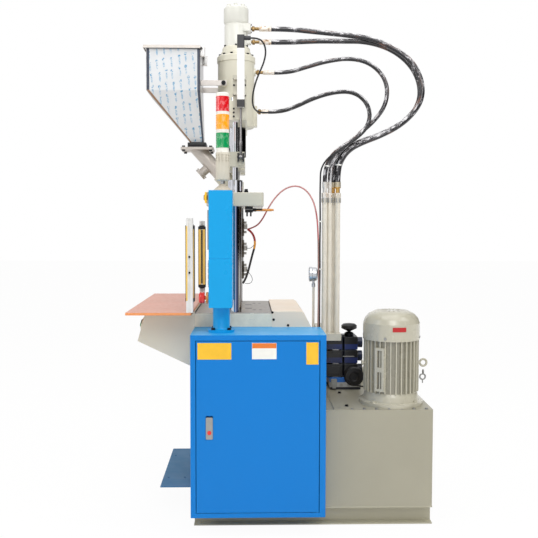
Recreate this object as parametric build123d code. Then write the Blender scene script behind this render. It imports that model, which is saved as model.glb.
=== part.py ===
from build123d import *
import math
import os

# Vertical injection moulding machine with two tie bars, in millimetres.
# X runs from the operator's side (minus) to the oil tank (plus), Y from the
# cabinet side (minus) to the far side, and Z up from the floor. The injection
# axis stands on the origin.

# Clearances
RUN = 0.05  # running fit between a shaft and its bore, on the radius
EASE = 0.3  # gap between pieces that only pass each other
DOOR_GAP = 3.0  # gap round the cabinet door

# Base frame
BASE_X0 = -184.0
BASE_X1 = 908.0
BASE_HALF_Y = 468.0
BASE_H = 83.0
BASE_FLANGE = 40.0
BASE_WALL = 6.0
ANCHOR_R = 7.0
ANCHOR_INSET_X = 34.0
ANCHOR_INSET_Y = 16.0

# Press frame and lower platen
FRAME_X0 = -189.0
FRAME_X1 = 174.0
FRAME_HALF_Y = 315.0
FRAME_PLATE = 12.0
PLATEN_Z0 = 892.0
PLATEN_H = 65.0
SLOT_W = 18.0
SLOT_WIDE = 30.0
SLOT_X = 80.0
TAP_R = 7.0
TAP_X = 40.0
TAP_Y = 110.0
EJECT_R = 20.0
SHEET = 2.0

# Clamp
TIE_R = 30.0
TIE_Y = FRAME_HALF_Y - 60.0
UPPER_Z0 = 1461.0
UPPER_H = 63.0
UPPER_HALF_X = 134.0
UPPER_HALF_Y = FRAME_HALF_Y + 5.0
NUT_R = 35.0
NUT_H = 60.0
CLAMP_R = 100.0
CLAMP_Z0 = 540.0
CLAMP_ROD_R = 45.0
CROSS_Z1 = 430.0
CROSS_H = 95.0
CROSS_HALF_X = 60.0
CROSS_HALF_Y = FRAME_HALF_Y - FRAME_PLATE - 5.0
CLAMP_STROKE = 70.0

# Injection unit
SCREW_R = 18.0
BARREL_R = 37.5
BARREL_Z0 = 1100.0
BAND_R = 41.0
BAND_H = 88.0
BAND_COUNT = 3
BAND_PITCH = 108.0
BAND_Z0 = 1094.0
NOZZLE_TIP_Z = 1042.0
FEED_HALF_X = 38.0
FEED_HALF_Y = 60.0
FEED_H = 64.0
STAY_R = 13.0
RAM_Z0 = 1646.0
RAM_H = 69.0
RAM_HALF_X = 44.0
RAM_HALF_Y = TIE_Y + 35.0
RAM_ROD_R = 50.0
RAM_STROKE = 125.0
YOKE_Z0 = 1862.0
YOKE_H = 92.0
YOKE_HALF_X = 55.0
CYL_R = 92.0
CYL_Z1 = 2186.0
CYL_FLANGE_R = 96.0
CYL_FLANGE_H = 32.0
ADAPTER_R = 70.0
ADAPTER_H = 46.0
HMOTOR_R = 59.0
HMOTOR_H = 208.0
HMOTOR_TOP_Z = CYL_Z1 + CYL_FLANGE_H + ADAPTER_H + HMOTOR_H

# Transducer in front of the yoke
GAUGE_BAR_X = 27.0
GAUGE_BAR_Y = -RAM_HALF_Y - 30.0
GAUGE_BAR_W = 36.0
GAUGE_BAR_Z0 = 1950.0
GAUGE_BAR_Z1 = 2184.0
GAUGE_CAP_Z1 = 2246.0

# Hopper and chute
HOPPER_X0 = -435.0
HOPPER_X1 = -173.0
HOPPER_HALF_Y = 130.0
HOPPER_Z1 = 2236.0
HOPPER_KNEE_Z = 2027.0
OUTLET_X0 = -229.0
OUTLET_X1 = -161.0
OUTLET_HALF_Y = 34.0
OUTLET_Z = 1784.0
HOPPER_WALL = 2.0
LID_H = 9.0
GATE_T = 4.0
GATE_TRAVEL = 70.0
CHUTE_FLANGE_H = 12.0
CHUTE_R = 35.5
CHUTE_WALL = 3.0
CHUTE_START = (-187.0, 0.0, 1748.0)
CHUTE_TURN = 42.2  # degrees that the chute leans away from straight down
LID_HINGE_OUT = 18.0
ARM_Y = 98.0
ARM_Z = 2070.0
ARM_X1 = -45.0
ARM_BOLT_X = -60.0

# Operator's side
TABLE_X0 = -490.0
TABLE_X1 = -193.0
TABLE_HALF_Y = 475.0
TABLE_FAR_Y = TABLE_HALF_Y + 100.0  # the board reaches further on the far side
TABLE_Z0 = 964.0
TABLE_H = 12.0
POST = 30.0
POST_X = -201.0
POST_Y = TABLE_HALF_Y - POST / 2
POST_H = 424.0
FOOT_X0 = -356.0
FOOT_Z = 129.0
START_R = 19.0
START_Y = FRAME_HALF_Y - 60.0
START_TRAVEL = 4.0

# Cabinet
CAB_X0 = -190.0
CAB_X1 = 404.0
CAB_Y1 = -FRAME_HALF_Y - 0.5
CAB_Y0 = CAB_Y1 - 279.5
CAB_Z1 = 891.0
DOOR_X0 = -164.0
DOOR_X1 = 374.0
DOOR_Z0 = 106.0
DOOR_Z1 = 864.0
DOOR_DEEP = 20.0
HINGE_X = 368.0
HINGE_Y = CAB_Y0 + 5.0
HINGE_R = 2.5
LATCH_X0 = -122.0
LATCH_X1 = -92.0
LATCH_Z0 = 433.0
LATCH_Z1 = 533.0
SWITCH_Y = CAB_Y0 + 145.0
SWITCH_Z = 468.0

# Console and tower light
CONSOLE_X = -58.0
CONSOLE_Y = CAB_Y0 + 120.0
CONSOLE_HALF_X = 51.0
CONSOLE_HALF_Y = 115.0
CONSOLE_Z0 = 1009.0
CONSOLE_Z1 = 1519.0
COLUMN_R = 38.0
PIVOT_R = 25.0
STOP_Z = 1044.0
STOP_TRAVEL = 5.0
TOWER_X = -52.0
TOWER_R = 31.0
LENS_H = 66.0

# Oil tank and drive
TANK_X0 = 450.0
TANK_Z1 = 530.0
TANK_WALL = 5.0
MOTOR_X = 741.0
MOTOR_Y = 158.0 - BASE_HALF_Y
MOTOR_FLANGE_R = 150.0
MOTOR_R = 118.0
FIN_R = 130.0
FIN_COUNT = 32
FIN_T = 5.0
FIN_Z0 = 592.0
FIN_Z1 = 836.0
COWL_R = 133.0
COWL_TOP_Z = 970.0
SHAFT_R = 14.0
BLADE_COUNT = 7

# Valves, pipes and gauge
VALVE_X0 = 541.0
VALVE_X1 = 617.0
VALVE_Y0 = -20.0
VALVE_BACK_Y = 108.0
VALVE_Z0 = 592.0
VALVE_H = 66.0
RISER_X0 = 440.0
RISER_X1 = 512.0
RISER_Y1 = 190.0
RELIEF_X = 585.0
RELIEF_Y = 30.0
VALVE_COUNT = 3
HEADER_Z1 = 848.0
PIPE_R = 12.5
PIPE_WALL = 2.5
PIPE_PLACES = [(430, -215), (456, -200), (474, -176), (494, -205)]
PIPE_NUT_Z = 1478.0
PIPE_END_Z = 1528.0
FITTING_END_Z = 1580.0
GAUGE_X0 = 359.0
GAUGE_Y = -190.0
GAUGE_Z = 1134.0
GAUGE_R = 36.0

# Hoses and leads: radius, then the points of each route
HOSE_R = 13.5
THIN_HOSE_R = 11.0
LEAD_R = 5.0
CABLE_R = 4.0
HOSE_1 = [(176, -20, 2355), (268, -20, 2355), (396, -23, 2342), (537, -27, 2328),
          (669, -30, 2313), (782, -49, 2263), (874, -70, 2194), (922, -88, 2098),
          (924, -105, 2001), (873, -122, 1920), (796, -138, 1855), (704, -156, 1808),
          (624, -174, 1777), (558, -192, 1744), (517, -203, 1700), (494, -205, 1642),
          (494, -205, 1580)]
HOSE_2 = [(176, -10, 2292), (270, -10, 2292), (402, -10, 2300), (529, -9, 2300),
          (651, -9, 2291), (764, -20, 2246), (851, -34, 2174), (898, -48, 2084),
          (895, -62, 1991), (842, -78, 1914), (759, -94, 1853), (674, -110, 1813),
          (600, -130, 1781), (540, -152, 1748), (498, -170, 1702), (474, -176, 1643),
          (474, -176, 1580)]
HOSE_3 = [(192, 0, 2143), (262, 0, 2143), (352, -4, 2170), (453, -10, 2199),
          (564, -20, 2214), (662, -38, 2192), (731, -62, 2127), (755, -84, 2049),
          (739, -100, 1963), (686, -118, 1890), (612, -142, 1825), (552, -170, 1775),
          (504, -190, 1732), (471, -200, 1686), (456, -200, 1632), (456, -200, 1580)]
HOSE_4 = [(163, -10, 1945), (224, -10, 1945), (302, -16, 1971), (385, -26, 2010),
          (472, -40, 2036), (558, -62, 2042), (616, -84, 2016), (652, -108, 1966),
          (659, -142, 1905), (638, -172, 1848), (595, -194, 1803), (541, -208, 1766),
          (488, -214, 1732), (452, -215, 1690), (430, -215, 1632), (430, -215, 1580)]
CABLE = [(73, -320, 2234), (106, -320, 2234), (133, -314, 2216), (144, -300, 2180),
         (137, -284, 2138), (119, -268, 2098), (99, -250, 2055), (85, -225, 2007), (82, -182, 1959),
         (96, -130, 1926), (130, -80, 1910), (178, -40, 1908), (234, -30, 1922),
         (306, -34, 1948), (385, -42, 1988), (470, -58, 2014), (550, -80, 2020),
         (604, -104, 1997), (638, -128, 1952), (645, -166, 1900), (624, -194, 1850),
         (580, -214, 1810), (528, -227, 1776), (472, -231, 1742), (426, -228, 1702),
         (408, -220, 1648), (408, -218, 1580), (407, -220, 1500), (409, -218, 1390),
         (407, -220, 1275), (409, -218, 1160), (407, -220, 1045), (408, -218, 940),
         (408, -218, 850)]
HEATER_LEAD = [(398, -252, 850), (398, -252, 930), (400, -250, 1050), (398, -248, 1190),
               (398, -240, 1310), (392, -214, 1412), (376, -180, 1480), (346, -150, 1528),
               (304, -124, 1552), (254, -108, 1540), (206, -94, 1503), (163, -82, 1450),
               (132, -68, 1400), (100, -46, 1364), (58, -30, 1352)]


def block(x0, x1, y0, y1, z0, z1):
    """An upright block between two corners."""
    size = Box(x1 - x0, y1 - y0, z1 - z0)
    return Pos((x0 + x1) / 2, (y0 + y1) / 2, (z0 + z1) / 2) * size


def soft_block(x0, x1, y0, y1, z0, z1, r):
    """A block whose upright edges are rounded."""
    flat = RectangleRounded(x1 - x0, y1 - y0, r)
    return Pos((x0 + x1) / 2, (y0 + y1) / 2, z0) * extrude(flat, z1 - z0)


def post(x, y, z0, z1, r):
    """An upright round bar."""
    return Pos(x, y, (z0 + z1) / 2) * Cylinder(r, z1 - z0)


def bar_x(x0, x1, y, z, r):
    """A round bar along X."""
    return Pos((x0 + x1) / 2, y, z) * Rot(0, 90, 0) * Cylinder(r, x1 - x0)


def bar_y(x, y0, y1, z, r):
    """A round bar along Y."""
    return Pos(x, (y0 + y1) / 2, z) * Rot(90, 0, 0) * Cylinder(r, y1 - y0)


def turned(profile, x=0.0, y=0.0):
    """A turned piece about an upright axis, from points of radius and height."""
    face = make_face(Polyline([(r, 0, z) for r, z in profile], close=True))
    return Pos(x, y, 0) * revolve(face, Axis.Z)


def turned_x(profile, y, z):
    """A turned piece about a level axis, from points of radius and place along X."""
    return Pos(0, y, z) * Rot(0, 90, 0) * turned(profile)


def slab_xz(points, y0, y1):
    """A prism along Y from an outline in X and Z."""
    face = make_face(Polyline([(x, y0, z) for x, z in points], close=True))
    return extrude(face, y1 - y0, dir=(0, 1, 0))


def slab_yz(points, x0, x1):
    """A prism along X from an outline in Y and Z."""
    face = make_face(Polyline([(x0, y, z) for y, z in points], close=True))
    return extrude(face, x1 - x0, dir=(1, 0, 0))


def hexagon_post(x, y, z0, z1, across):
    """An upright hexagon bar, sized across its flats."""
    flat = RegularPolygon(across / 2, 6, major_radius=False)
    return Pos(x, y, z0) * extrude(flat, z1 - z0)


def hexagon_x(x0, x1, y, z, across):
    """A hexagon bar along X."""
    flat = RegularPolygon(across / 2, 6, major_radius=False)
    return Pos(x0, y, z) * Rot(0, 90, 0) * extrude(flat, x1 - x0)


def group(pieces):
    """Separate solids of one node."""
    solids = []
    for piece in pieces:
        solids.extend(piece.solids())
    return Compound(solids)


def bend_radii(points):
    """The radius of the arc at each inner point of a route."""
    radii = []
    for a, b, c in zip(points, points[1:], points[2:]):
        u, v = Vector(*b) - Vector(*a), Vector(*c) - Vector(*b)
        half = math.radians(u.get_angle(v)) / 2
        radii.append(0.45 * min(u.length, v.length) / math.tan(half))
    return radii


def cord(name, points, r):
    """A plain tube along straight runs joined by tangent arcs."""
    radii = bend_radii(points)
    path = FilletPolyline(*points, radius=radii)
    start = Plane(origin=path @ 0, z_dir=path % 0)
    tube = sweep(start * Circle(r), path=path)
    expected = math.pi * r * r * path.length
    print(name, "length", round(path.length), "least radius", round(min(radii)),
          "in diameters", round(min(radii) / r / 2, 1),
          "volume share", round(tube.volume / expected, 4))
    return tube


# Base, press frame and covers

def base_frame():
    web = BASE_HALF_Y - BASE_FLANGE
    channel = [(-BASE_HALF_Y, 0), (-web + BASE_WALL, 0), (-web + BASE_WALL, BASE_H),
               (-BASE_HALF_Y, BASE_H), (-BASE_HALF_Y, BASE_H - BASE_WALL),
               (-web, BASE_H - BASE_WALL), (-web, BASE_WALL), (-BASE_HALF_Y, BASE_WALL)]
    near = slab_yz(channel, BASE_X0, BASE_X1)
    frame = near + mirror(near, Plane.XZ)
    inner = web - BASE_WALL
    frame += block(BASE_X0, BASE_X1, -inner, inner, BASE_H - BASE_WALL, BASE_H)
    for x in (BASE_X0, -BASE_FLANGE / 2, FRAME_X1, TANK_X0, BASE_X1 - BASE_FLANGE):
        frame += block(x, x + BASE_WALL, -inner, inner, 0, BASE_H - BASE_WALL)
        frame += block(x, x + BASE_FLANGE, -inner, inner, 0, BASE_WALL)
    for x in (BASE_X0 + ANCHOR_INSET_X, BASE_X1 - ANCHOR_INSET_X):
        for y in (-BASE_HALF_Y + ANCHOR_INSET_Y, BASE_HALF_Y - ANCHOR_INSET_Y):
            frame -= post(x, y, -1, BASE_H + 1, ANCHOR_R)
    return frame


def press_frame():
    y = FRAME_HALF_Y
    parts = []
    for sign in (-1, 1):
        y0, y1 = sorted((sign * y, sign * (y - FRAME_PLATE)))
        parts.append(block(FRAME_X0, FRAME_X1, y0, y1, BASE_H, PLATEN_Z0))
    inner = y - FRAME_PLATE
    parts.append(block(FRAME_X0, FRAME_X1, -inner, inner, BASE_H, BASE_H + FRAME_PLATE))
    for x in (FRAME_X0, FRAME_X1 - FRAME_PLATE):
        parts.append(block(x, x + FRAME_PLATE, -inner, inner, PLATEN_Z0 - 90, PLATEN_Z0))
        parts.append(block(x, x + FRAME_PLATE, -inner, inner, BASE_H + FRAME_PLATE, 180))
    frame = parts[0]
    for part in parts[1:]:
        frame += part
    return frame


def lower_platen():
    z1 = PLATEN_Z0 + PLATEN_H
    platen = block(FRAME_X0, FRAME_X1, -FRAME_HALF_Y, FRAME_HALF_Y, PLATEN_Z0, z1)
    platen = chamfer(platen.edges().group_by(Axis.Z)[-1], 2)
    for x in (-SLOT_X, SLOT_X):
        platen -= block(x - SLOT_W / 2, x + SLOT_W / 2, -FRAME_HALF_Y - 1, FRAME_HALF_Y + 1,
                        z1 - 30, z1 + 1)
        platen -= block(x - SLOT_WIDE / 2, x + SLOT_WIDE / 2, -FRAME_HALF_Y - 1,
                        FRAME_HALF_Y + 1, z1 - 30, z1 - 18)
    for y in (-TIE_Y, TIE_Y):
        platen -= post(0, y, PLATEN_Z0 - 1, z1 + 1, TIE_R + RUN)
    for x in (-TAP_X, TAP_X):
        for y in (-TAP_Y, TAP_Y):
            platen -= post(x, y, z1 - 40, z1 + 1, TAP_R)
    platen -= post(0, 0, z1 - 30, z1 + 1, EJECT_R)
    return platen


REAR_X1 = 360.0
REAR_TOP_Z = 965.0


def cover_sheets():
    """Front panel, rear housing and the cover behind the platen, all folded sheet."""
    half = FRAME_HALF_Y - 15
    front = block(FRAME_X0 - SHEET, FRAME_X0, -half, half, 170, 690)
    housing = block(FRAME_X1, REAR_X1, -FRAME_HALF_Y, FRAME_HALF_Y, BASE_H, 888)
    housing -= block(FRAME_X1 - 1, REAR_X1 - SHEET, -FRAME_HALF_Y + SHEET,
                     FRAME_HALF_Y - SHEET, BASE_H - 1, 888 - SHEET)
    for i in range(6):
        z = 600 + 30 * i
        housing -= block(FRAME_X1 + 40, REAR_X1 - 40, FRAME_HALF_Y - 5, FRAME_HALF_Y + 1,
                         z, z + 8)
        housing -= block(REAR_X1 - 5, REAR_X1 + 1, -180, -40, z, z + 8)
        housing -= block(REAR_X1 - 5, REAR_X1 + 1, 40, 180, z, z + 8)
    outline = [(FRAME_X1 + EASE, 888), (FRAME_X1 + EASE, REAR_TOP_Z), (312, REAR_TOP_Z),
               (326, REAR_TOP_Z - 8), (REAR_X1, 890), (REAR_X1, 888)]
    hollow = [(FRAME_X1, 887), (FRAME_X1, REAR_TOP_Z - SHEET), (311, REAR_TOP_Z - SHEET),
              (324.5, REAR_TOP_Z - 9.5), (REAR_X1 - SHEET, 890), (REAR_X1 - SHEET, 887)]
    cover = slab_xz(outline, -FRAME_HALF_Y, FRAME_HALF_Y)
    cover -= slab_xz(hollow, -FRAME_HALF_Y + SHEET, FRAME_HALF_Y - SHEET)
    return group([front, housing, cover])


# Clamp

def clamp_cylinder():
    body = turned([(0, PLATEN_Z0), (130, PLATEN_Z0), (130, PLATEN_Z0 - 30),
                   (CLAMP_R, PLATEN_Z0 - 30), (CLAMP_R, CLAMP_Z0 + 30),
                   (CLAMP_R - 15, CLAMP_Z0 + 20), (CLAMP_R - 15, CLAMP_Z0), (0, CLAMP_Z0)])
    return body - post(0, 0, CLAMP_Z0 - 1, 850, CLAMP_ROD_R + RUN)


def clamp_crosshead():
    """The beam under the press frame and the clamp rod that drives it down."""
    low, high = CROSS_Z1 - CROSS_H, CROSS_Z1
    seat = high - 60
    outline = [(-CROSS_HALF_Y, high), (-CROSS_HALF_Y, seat), (-200, seat), (-120, low),
               (120, low), (200, seat), (CROSS_HALF_Y, seat), (CROSS_HALF_Y, high)]
    beam = slab_yz(outline, -CROSS_HALF_X, CROSS_HALF_X)
    for y in (-TIE_Y, TIE_Y):
        beam -= post(0, y, low - 1, high + 1, TIE_R - 8 + EASE)
    rod = turned([(0, high), (CLAMP_ROD_R + 12, high), (CLAMP_ROD_R + 12, high + 14),
                  (CLAMP_ROD_R, high + 22), (CLAMP_ROD_R, 840), (0, 845)])
    return group([beam, rod])


def tie_bar(y):
    top = UPPER_Z0 + UPPER_H
    shoulder = TIE_R - 6
    low = CROSS_Z1 - 60 - 45
    return turned([(0, low), (TIE_R - 8, low), (TIE_R - 8, CROSS_Z1), (TIE_R, CROSS_Z1),
                   (TIE_R, UPPER_Z0), (shoulder, UPPER_Z0), (shoulder, top + NUT_H - 15),
                   (0, top + NUT_H - 15)], 0, y)


def tie_bars():
    return group([tie_bar(-TIE_Y), tie_bar(TIE_Y)])


def tie_nut(y, z0, height, r, bore):
    nut = turned([(0, z0), (r, z0), (r, z0 + height - 2), (r - 2, z0 + height),
                  (0, z0 + height)], 0, y)
    for turn in range(4):
        slot = Pos(0, y, 0) * Rot(0, 0, 90 * turn + 45) * block(r - 4, r + 4, -4, 4,
                                                                z0 + 8, z0 + height - 8)
        nut -= slot
    return nut - post(0, y, z0 - 1, z0 + height - 15 + EASE, bore)


def tie_bar_nuts():
    """Round slotted nuts over the upper platen and under the crosshead."""
    top = UPPER_Z0 + UPPER_H
    low = CROSS_Z1 - 60 - 30
    nuts = []
    for y in (-TIE_Y, TIE_Y):
        nuts.append(tie_nut(y, top, NUT_H, NUT_R, TIE_R - 6 + EASE))
        lower = turned([(TIE_R - 8 + EASE, low), (TIE_R + 11, low), (TIE_R + 11, low + 30),
                        (TIE_R - 8 + EASE, low + 30)], 0, y)
        nuts.append(lower)
    return group(nuts)


def upper_platen():
    z0, z1 = UPPER_Z0, UPPER_Z0 + UPPER_H
    platen = soft_block(-UPPER_HALF_X, UPPER_HALF_X, -UPPER_HALF_Y, UPPER_HALF_Y, z0, z1, 12)
    platen = chamfer(platen.edges().group_by(Axis.Z)[-1], 3)
    for y in (-TIE_Y, TIE_Y):
        platen -= post(0, y, z0 - 1, z1 + 1, TIE_R - 6 + EASE)
    platen -= post(0, 0, z0 - 1, z1 + 1, BARREL_R + EASE)
    for x in (-90, 90):
        for y in (-150, 150):
            platen -= post(x, y, z0 - 1, z0 + 35, TAP_R)
    return platen


# Injection unit

def chute_axis():
    """A frame at the chute's mouth whose Z runs down the chute."""
    lean = math.radians(CHUTE_TURN)
    return Plane(origin=CHUTE_START, x_dir=(math.cos(lean), 0, math.sin(lean)),
                 z_dir=(math.sin(lean), 0, -math.cos(lean)))


CHUTE_LENGTH = 158.0
NECK_LENGTH = 236.0


def feed_block():
    z0 = UPPER_Z0 + UPPER_H
    body = soft_block(-FEED_HALF_X, FEED_HALF_X, -FEED_HALF_Y, FEED_HALF_Y, z0, z0 + FEED_H, 6)
    neck = chute_axis() * (Pos(0, 0, (CHUTE_LENGTH + NECK_LENGTH) / 2)
                           * Cylinder(CHUTE_R + 6, NECK_LENGTH - CHUTE_LENGTH))
    neck -= block(-400, 400, -200, 200, z0 - 200, z0)
    body += neck - block(-50, 400, -200, 200, RAM_Z0 - 6, RAM_Z0 + 60)
    body -= chute_axis() * (Pos(0, 0, NECK_LENGTH / 2) * Cylinder(CHUTE_R - CHUTE_WALL,
                                                                 NECK_LENGTH - 10))
    body -= post(0, 0, z0 - 1, z0 + 200, SCREW_R + RUN)
    return body


def barrel():
    z1 = UPPER_Z0 + UPPER_H
    return turned([(SCREW_R + RUN, BARREL_Z0), (BARREL_R, BARREL_Z0), (BARREL_R, z1),
                   (SCREW_R + RUN, z1)])


def nozzle():
    z = NOZZLE_TIP_Z
    body = turned([(1.5, z), (6, z), (9, z + 6), (16, z + 12), (16, BARREL_Z0 - 26),
                   (BARREL_R - 6, BARREL_Z0 - 22), (BARREL_R - 6, BARREL_Z0),
                   (SCREW_R, BARREL_Z0), (1.5, BARREL_Z0 - 18)])
    return body


def heater_band(z0):
    """A clamp-on heater band with its screw lugs and its terminal cap."""
    z1 = z0 + BAND_H
    inner = BARREL_R + EASE
    band = turned([(inner, z0), (BAND_R, z0), (BAND_R, z1), (inner, z1)])
    band -= block(BARREL_R - 4, BAND_R + 4, -2, 2, z0 - 1, z1 + 1)
    for z in (z0 + 14, z1 - 26):
        for y0, y1 in ((-9, -2), (2, 9)):
            band += block(BARREL_R + 1, BAND_R + 12, y0, y1, z, z + 12)
    cap = soft_block(BAND_R - 5, BAND_R + 16, -22, -10, z0 + 34, z0 + 60, 3)
    return band + (cap - post(0, 0, z0, z1, BAND_R - 1))


def heater_bands():
    bands = [heater_band(BAND_Z0 + 8 + i * BAND_PITCH) for i in range(BAND_COUNT)]
    inner = 16 + EASE
    small = turned([(inner, 1056), (22, 1056), (22, 1072), (inner, 1072)])
    return group(bands + [small])


def feed_screw():
    """The turned screw with its tip, and a flight made of raised turns."""
    z1 = RAM_Z0 + RAM_H - 22
    root = SCREW_R - 4.5
    tip = BARREL_Z0 + 6
    return turned([(0, tip), (6, tip + 4), (root - 3, tip + 24), (root - 3, tip + 34),
                   (SCREW_R, tip + 36), (SCREW_R, tip + 52), (root, tip + 54),
                   (root, 1470), (SCREW_R, 1476), (SCREW_R, z1), (0, z1)])


def stay_rods():
    """Two rods that carry the yoke above the upper platen, with a nut on each."""
    z0 = UPPER_Z0 + UPPER_H + NUT_H
    z1 = YOKE_Z0 + YOKE_H
    rods = []
    for y in (-TIE_Y, TIE_Y):
        rods.append(turned([(0, z0), (STAY_R, z0), (STAY_R, YOKE_Z0), (STAY_R - 3, YOKE_Z0),
                            (STAY_R - 3, z1), (STAY_R + 7, z1), (STAY_R + 7, z1 + 16),
                            (STAY_R - 3, z1 + 22), (0, z1 + 22)], 0, y))
    return group(rods)


def ram_crosshead():
    """The beam that slides on the stay rods and pushes the screw."""
    low, high = RAM_Z0, RAM_Z0 + RAM_H
    beam = soft_block(-RAM_HALF_X, RAM_HALF_X, -RAM_HALF_Y, RAM_HALF_Y, low, high, 8)
    for side in (-1, 1):
        for y in (-1, 1):
            y0, y1 = sorted((y * 90, y * 205))
            x0, x1 = sorted((side * 24, side * (RAM_HALF_X + 1)))
            beam -= block(x0, x1, y0, y1, low - 1, high + 1)
    for y in (-TIE_Y, TIE_Y):
        beam -= post(0, y, low - 1, high + 1, STAY_R + RUN)
    beam -= post(0, 0, low - 1, high - 20, SCREW_R + RUN)
    clevis_y = -RAM_HALF_Y
    clevis = block(GAUGE_BAR_X - 16, GAUGE_BAR_X + 16, clevis_y - 6, clevis_y, low + 6, high - 2)
    for x0, x1 in ((GAUGE_BAR_X - 16, GAUGE_BAR_X - 8), (GAUGE_BAR_X + 8, GAUGE_BAR_X + 16)):
        clevis += block(x0, x1, GAUGE_BAR_Y - 10, clevis_y - 6, low + 20, high - 10)
    eye_z = low + 42
    clevis -= bar_x(GAUGE_BAR_X - 20, GAUGE_BAR_X + 20, GAUGE_BAR_Y, eye_z, 4 + EASE)
    eye = bar_x(GAUGE_BAR_X - 7, GAUGE_BAR_X + 7, GAUGE_BAR_Y, eye_z, 9)
    eye += post(GAUGE_BAR_X, GAUGE_BAR_Y, eye_z, high + 24, 6)
    eye += turned([(0, high + 24), (8, high + 24), (8, high + 44), (5, high + 50),
                   (5, high + 275), (0, high + 275)], GAUGE_BAR_X, GAUGE_BAR_Y)
    eye -= bar_x(GAUGE_BAR_X - 20, GAUGE_BAR_X + 20, GAUGE_BAR_Y, eye_z, 4 + EASE)
    pin = bar_x(GAUGE_BAR_X - 18, GAUGE_BAR_X + 18, GAUGE_BAR_Y, eye_z, 4)
    return group([beam, clevis, eye, pin])


def ram_rod():
    low = RAM_Z0 + RAM_H
    return turned([(0, low), (RAM_ROD_R, low), (RAM_ROD_R, YOKE_Z0 + 130),
                   (0, YOKE_Z0 + 130)])


def injection_cylinder():
    """Yoke, tube, head flange and motor adapter, cast and welded as one body."""
    z1 = YOKE_Z0 + YOKE_H
    beam = soft_block(-YOKE_HALF_X, YOKE_HALF_X, -RAM_HALF_Y, RAM_HALF_Y, YOKE_Z0, z1, 10)
    beam = chamfer(beam.edges().group_by(Axis.Z)[-1], 4)
    flange_z = CYL_Z1 + CYL_FLANGE_H
    adapter_z = flange_z + ADAPTER_H
    tube = turned([(0, YOKE_Z0), (CYL_R - 6, YOKE_Z0), (CYL_R, YOKE_Z0 + 6), (CYL_R, CYL_Z1),
                   (CYL_FLANGE_R, CYL_Z1), (CYL_FLANGE_R, flange_z - 6),
                   (CYL_FLANGE_R - 6, flange_z), (ADAPTER_R + 6, flange_z),
                   (ADAPTER_R + 6, flange_z + 16), (ADAPTER_R, flange_z + 26),
                   (ADAPTER_R, adapter_z - 8), (ADAPTER_R - 6, adapter_z), (0, adapter_z)])
    body = beam + tube
    body += soft_block(CYL_R - 32, 106, -28, 28, YOKE_Z0 + 8, YOKE_Z0 + 110, 8)
    body += bar_x(CYL_R - 30, 98, 0, 2143, 20)
    for sign in (-1, 1):
        y0, y1 = sorted((sign * 60, sign * (ARM_Y - 5)))
        body += bar_y(ARM_BOLT_X, y0, y1, ARM_Z, 16)
    for y in (-TIE_Y, TIE_Y):
        body -= post(0, y, YOKE_Z0 - 1, z1 + 1, STAY_R - 3 + EASE)
    body -= post(0, 0, YOKE_Z0 - 1, YOKE_Z0 + 270, RAM_ROD_R + RUN)
    return body


def hydraulic_motor():
    z0 = CYL_Z1 + CYL_FLANGE_H + ADAPTER_H
    neck_z = HMOTOR_TOP_Z - 104
    body = turned([(0, z0), (HMOTOR_R, z0), (HMOTOR_R, neck_z), (HMOTOR_R - 4, neck_z + 8),
                   (HMOTOR_R + 3, neck_z + 18), (HMOTOR_R + 3, HMOTOR_TOP_Z - 18),
                   (HMOTOR_R - 2, HMOTOR_TOP_Z - 12), (0, HMOTOR_TOP_Z - 12)])
    port_z = HOSE_1[0][2]
    body += soft_block(20, 74, -50, 22, port_z - 17, port_z + 19, 6)
    port_z = HOSE_2[0][2]
    body += soft_block(20, 76, -28, 8, port_z - 12, port_z + 12, 4)
    for turn in range(7):
        a = math.radians(360 / 7 * turn + 10)
        body += hexagon_post(44 * math.cos(a), 44 * math.sin(a), HMOTOR_TOP_Z - 13,
                             HMOTOR_TOP_Z, 17)
    return body


def transducer():
    """The bar of the position sensor with its end caps, brackets and carrier plate."""
    x, y, w = GAUGE_BAR_X, GAUGE_BAR_Y, GAUGE_BAR_W
    face_y = -RAM_HALF_Y
    plate = block(x - 38, x + 26, face_y - 6, face_y, YOKE_Z0 + 2, YOKE_Z0 + 208)
    bar = soft_block(x - w / 2, x + w / 2, y - 17, y + 15, GAUGE_BAR_Z0, GAUGE_BAR_Z1, 4)
    top = soft_block(x - w / 2 + 1, x + w / 2 - 1, y - 16, y + 14, GAUGE_BAR_Z1, GAUGE_CAP_Z1, 5)
    plug = bar_x(x + w / 2 - 1, CABLE[0][0], y, CABLE[0][2], 10)
    low = soft_block(x - w / 2, x + w / 2, y - 17, y + 15, GAUGE_BAR_Z0 - 36, GAUGE_BAR_Z0, 4)
    low -= post(x, y, GAUGE_BAR_Z0 - 40, GAUGE_BAR_Z0 + 1, 5 + EASE)
    bar -= post(x, y, GAUGE_BAR_Z0 - 1, GAUGE_BAR_Z1 - 20, 5 + EASE)
    brackets = []
    for z in (1975, 2046):
        brackets.append(block(x - 34, x - w / 2, y + 15, face_y - 6, z, z + 18)
                        + block(x - 34, x - w / 2, y + 2, y + 15, z, z + 18))
        brackets.append(block(x + w / 2, x + 26, y + 15, face_y - 6, z, z + 18)
                        + block(x + w / 2, x + 26, y + 2, y + 15, z, z + 18))
    return group([plate, bar, top + plug, low] + brackets)


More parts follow.
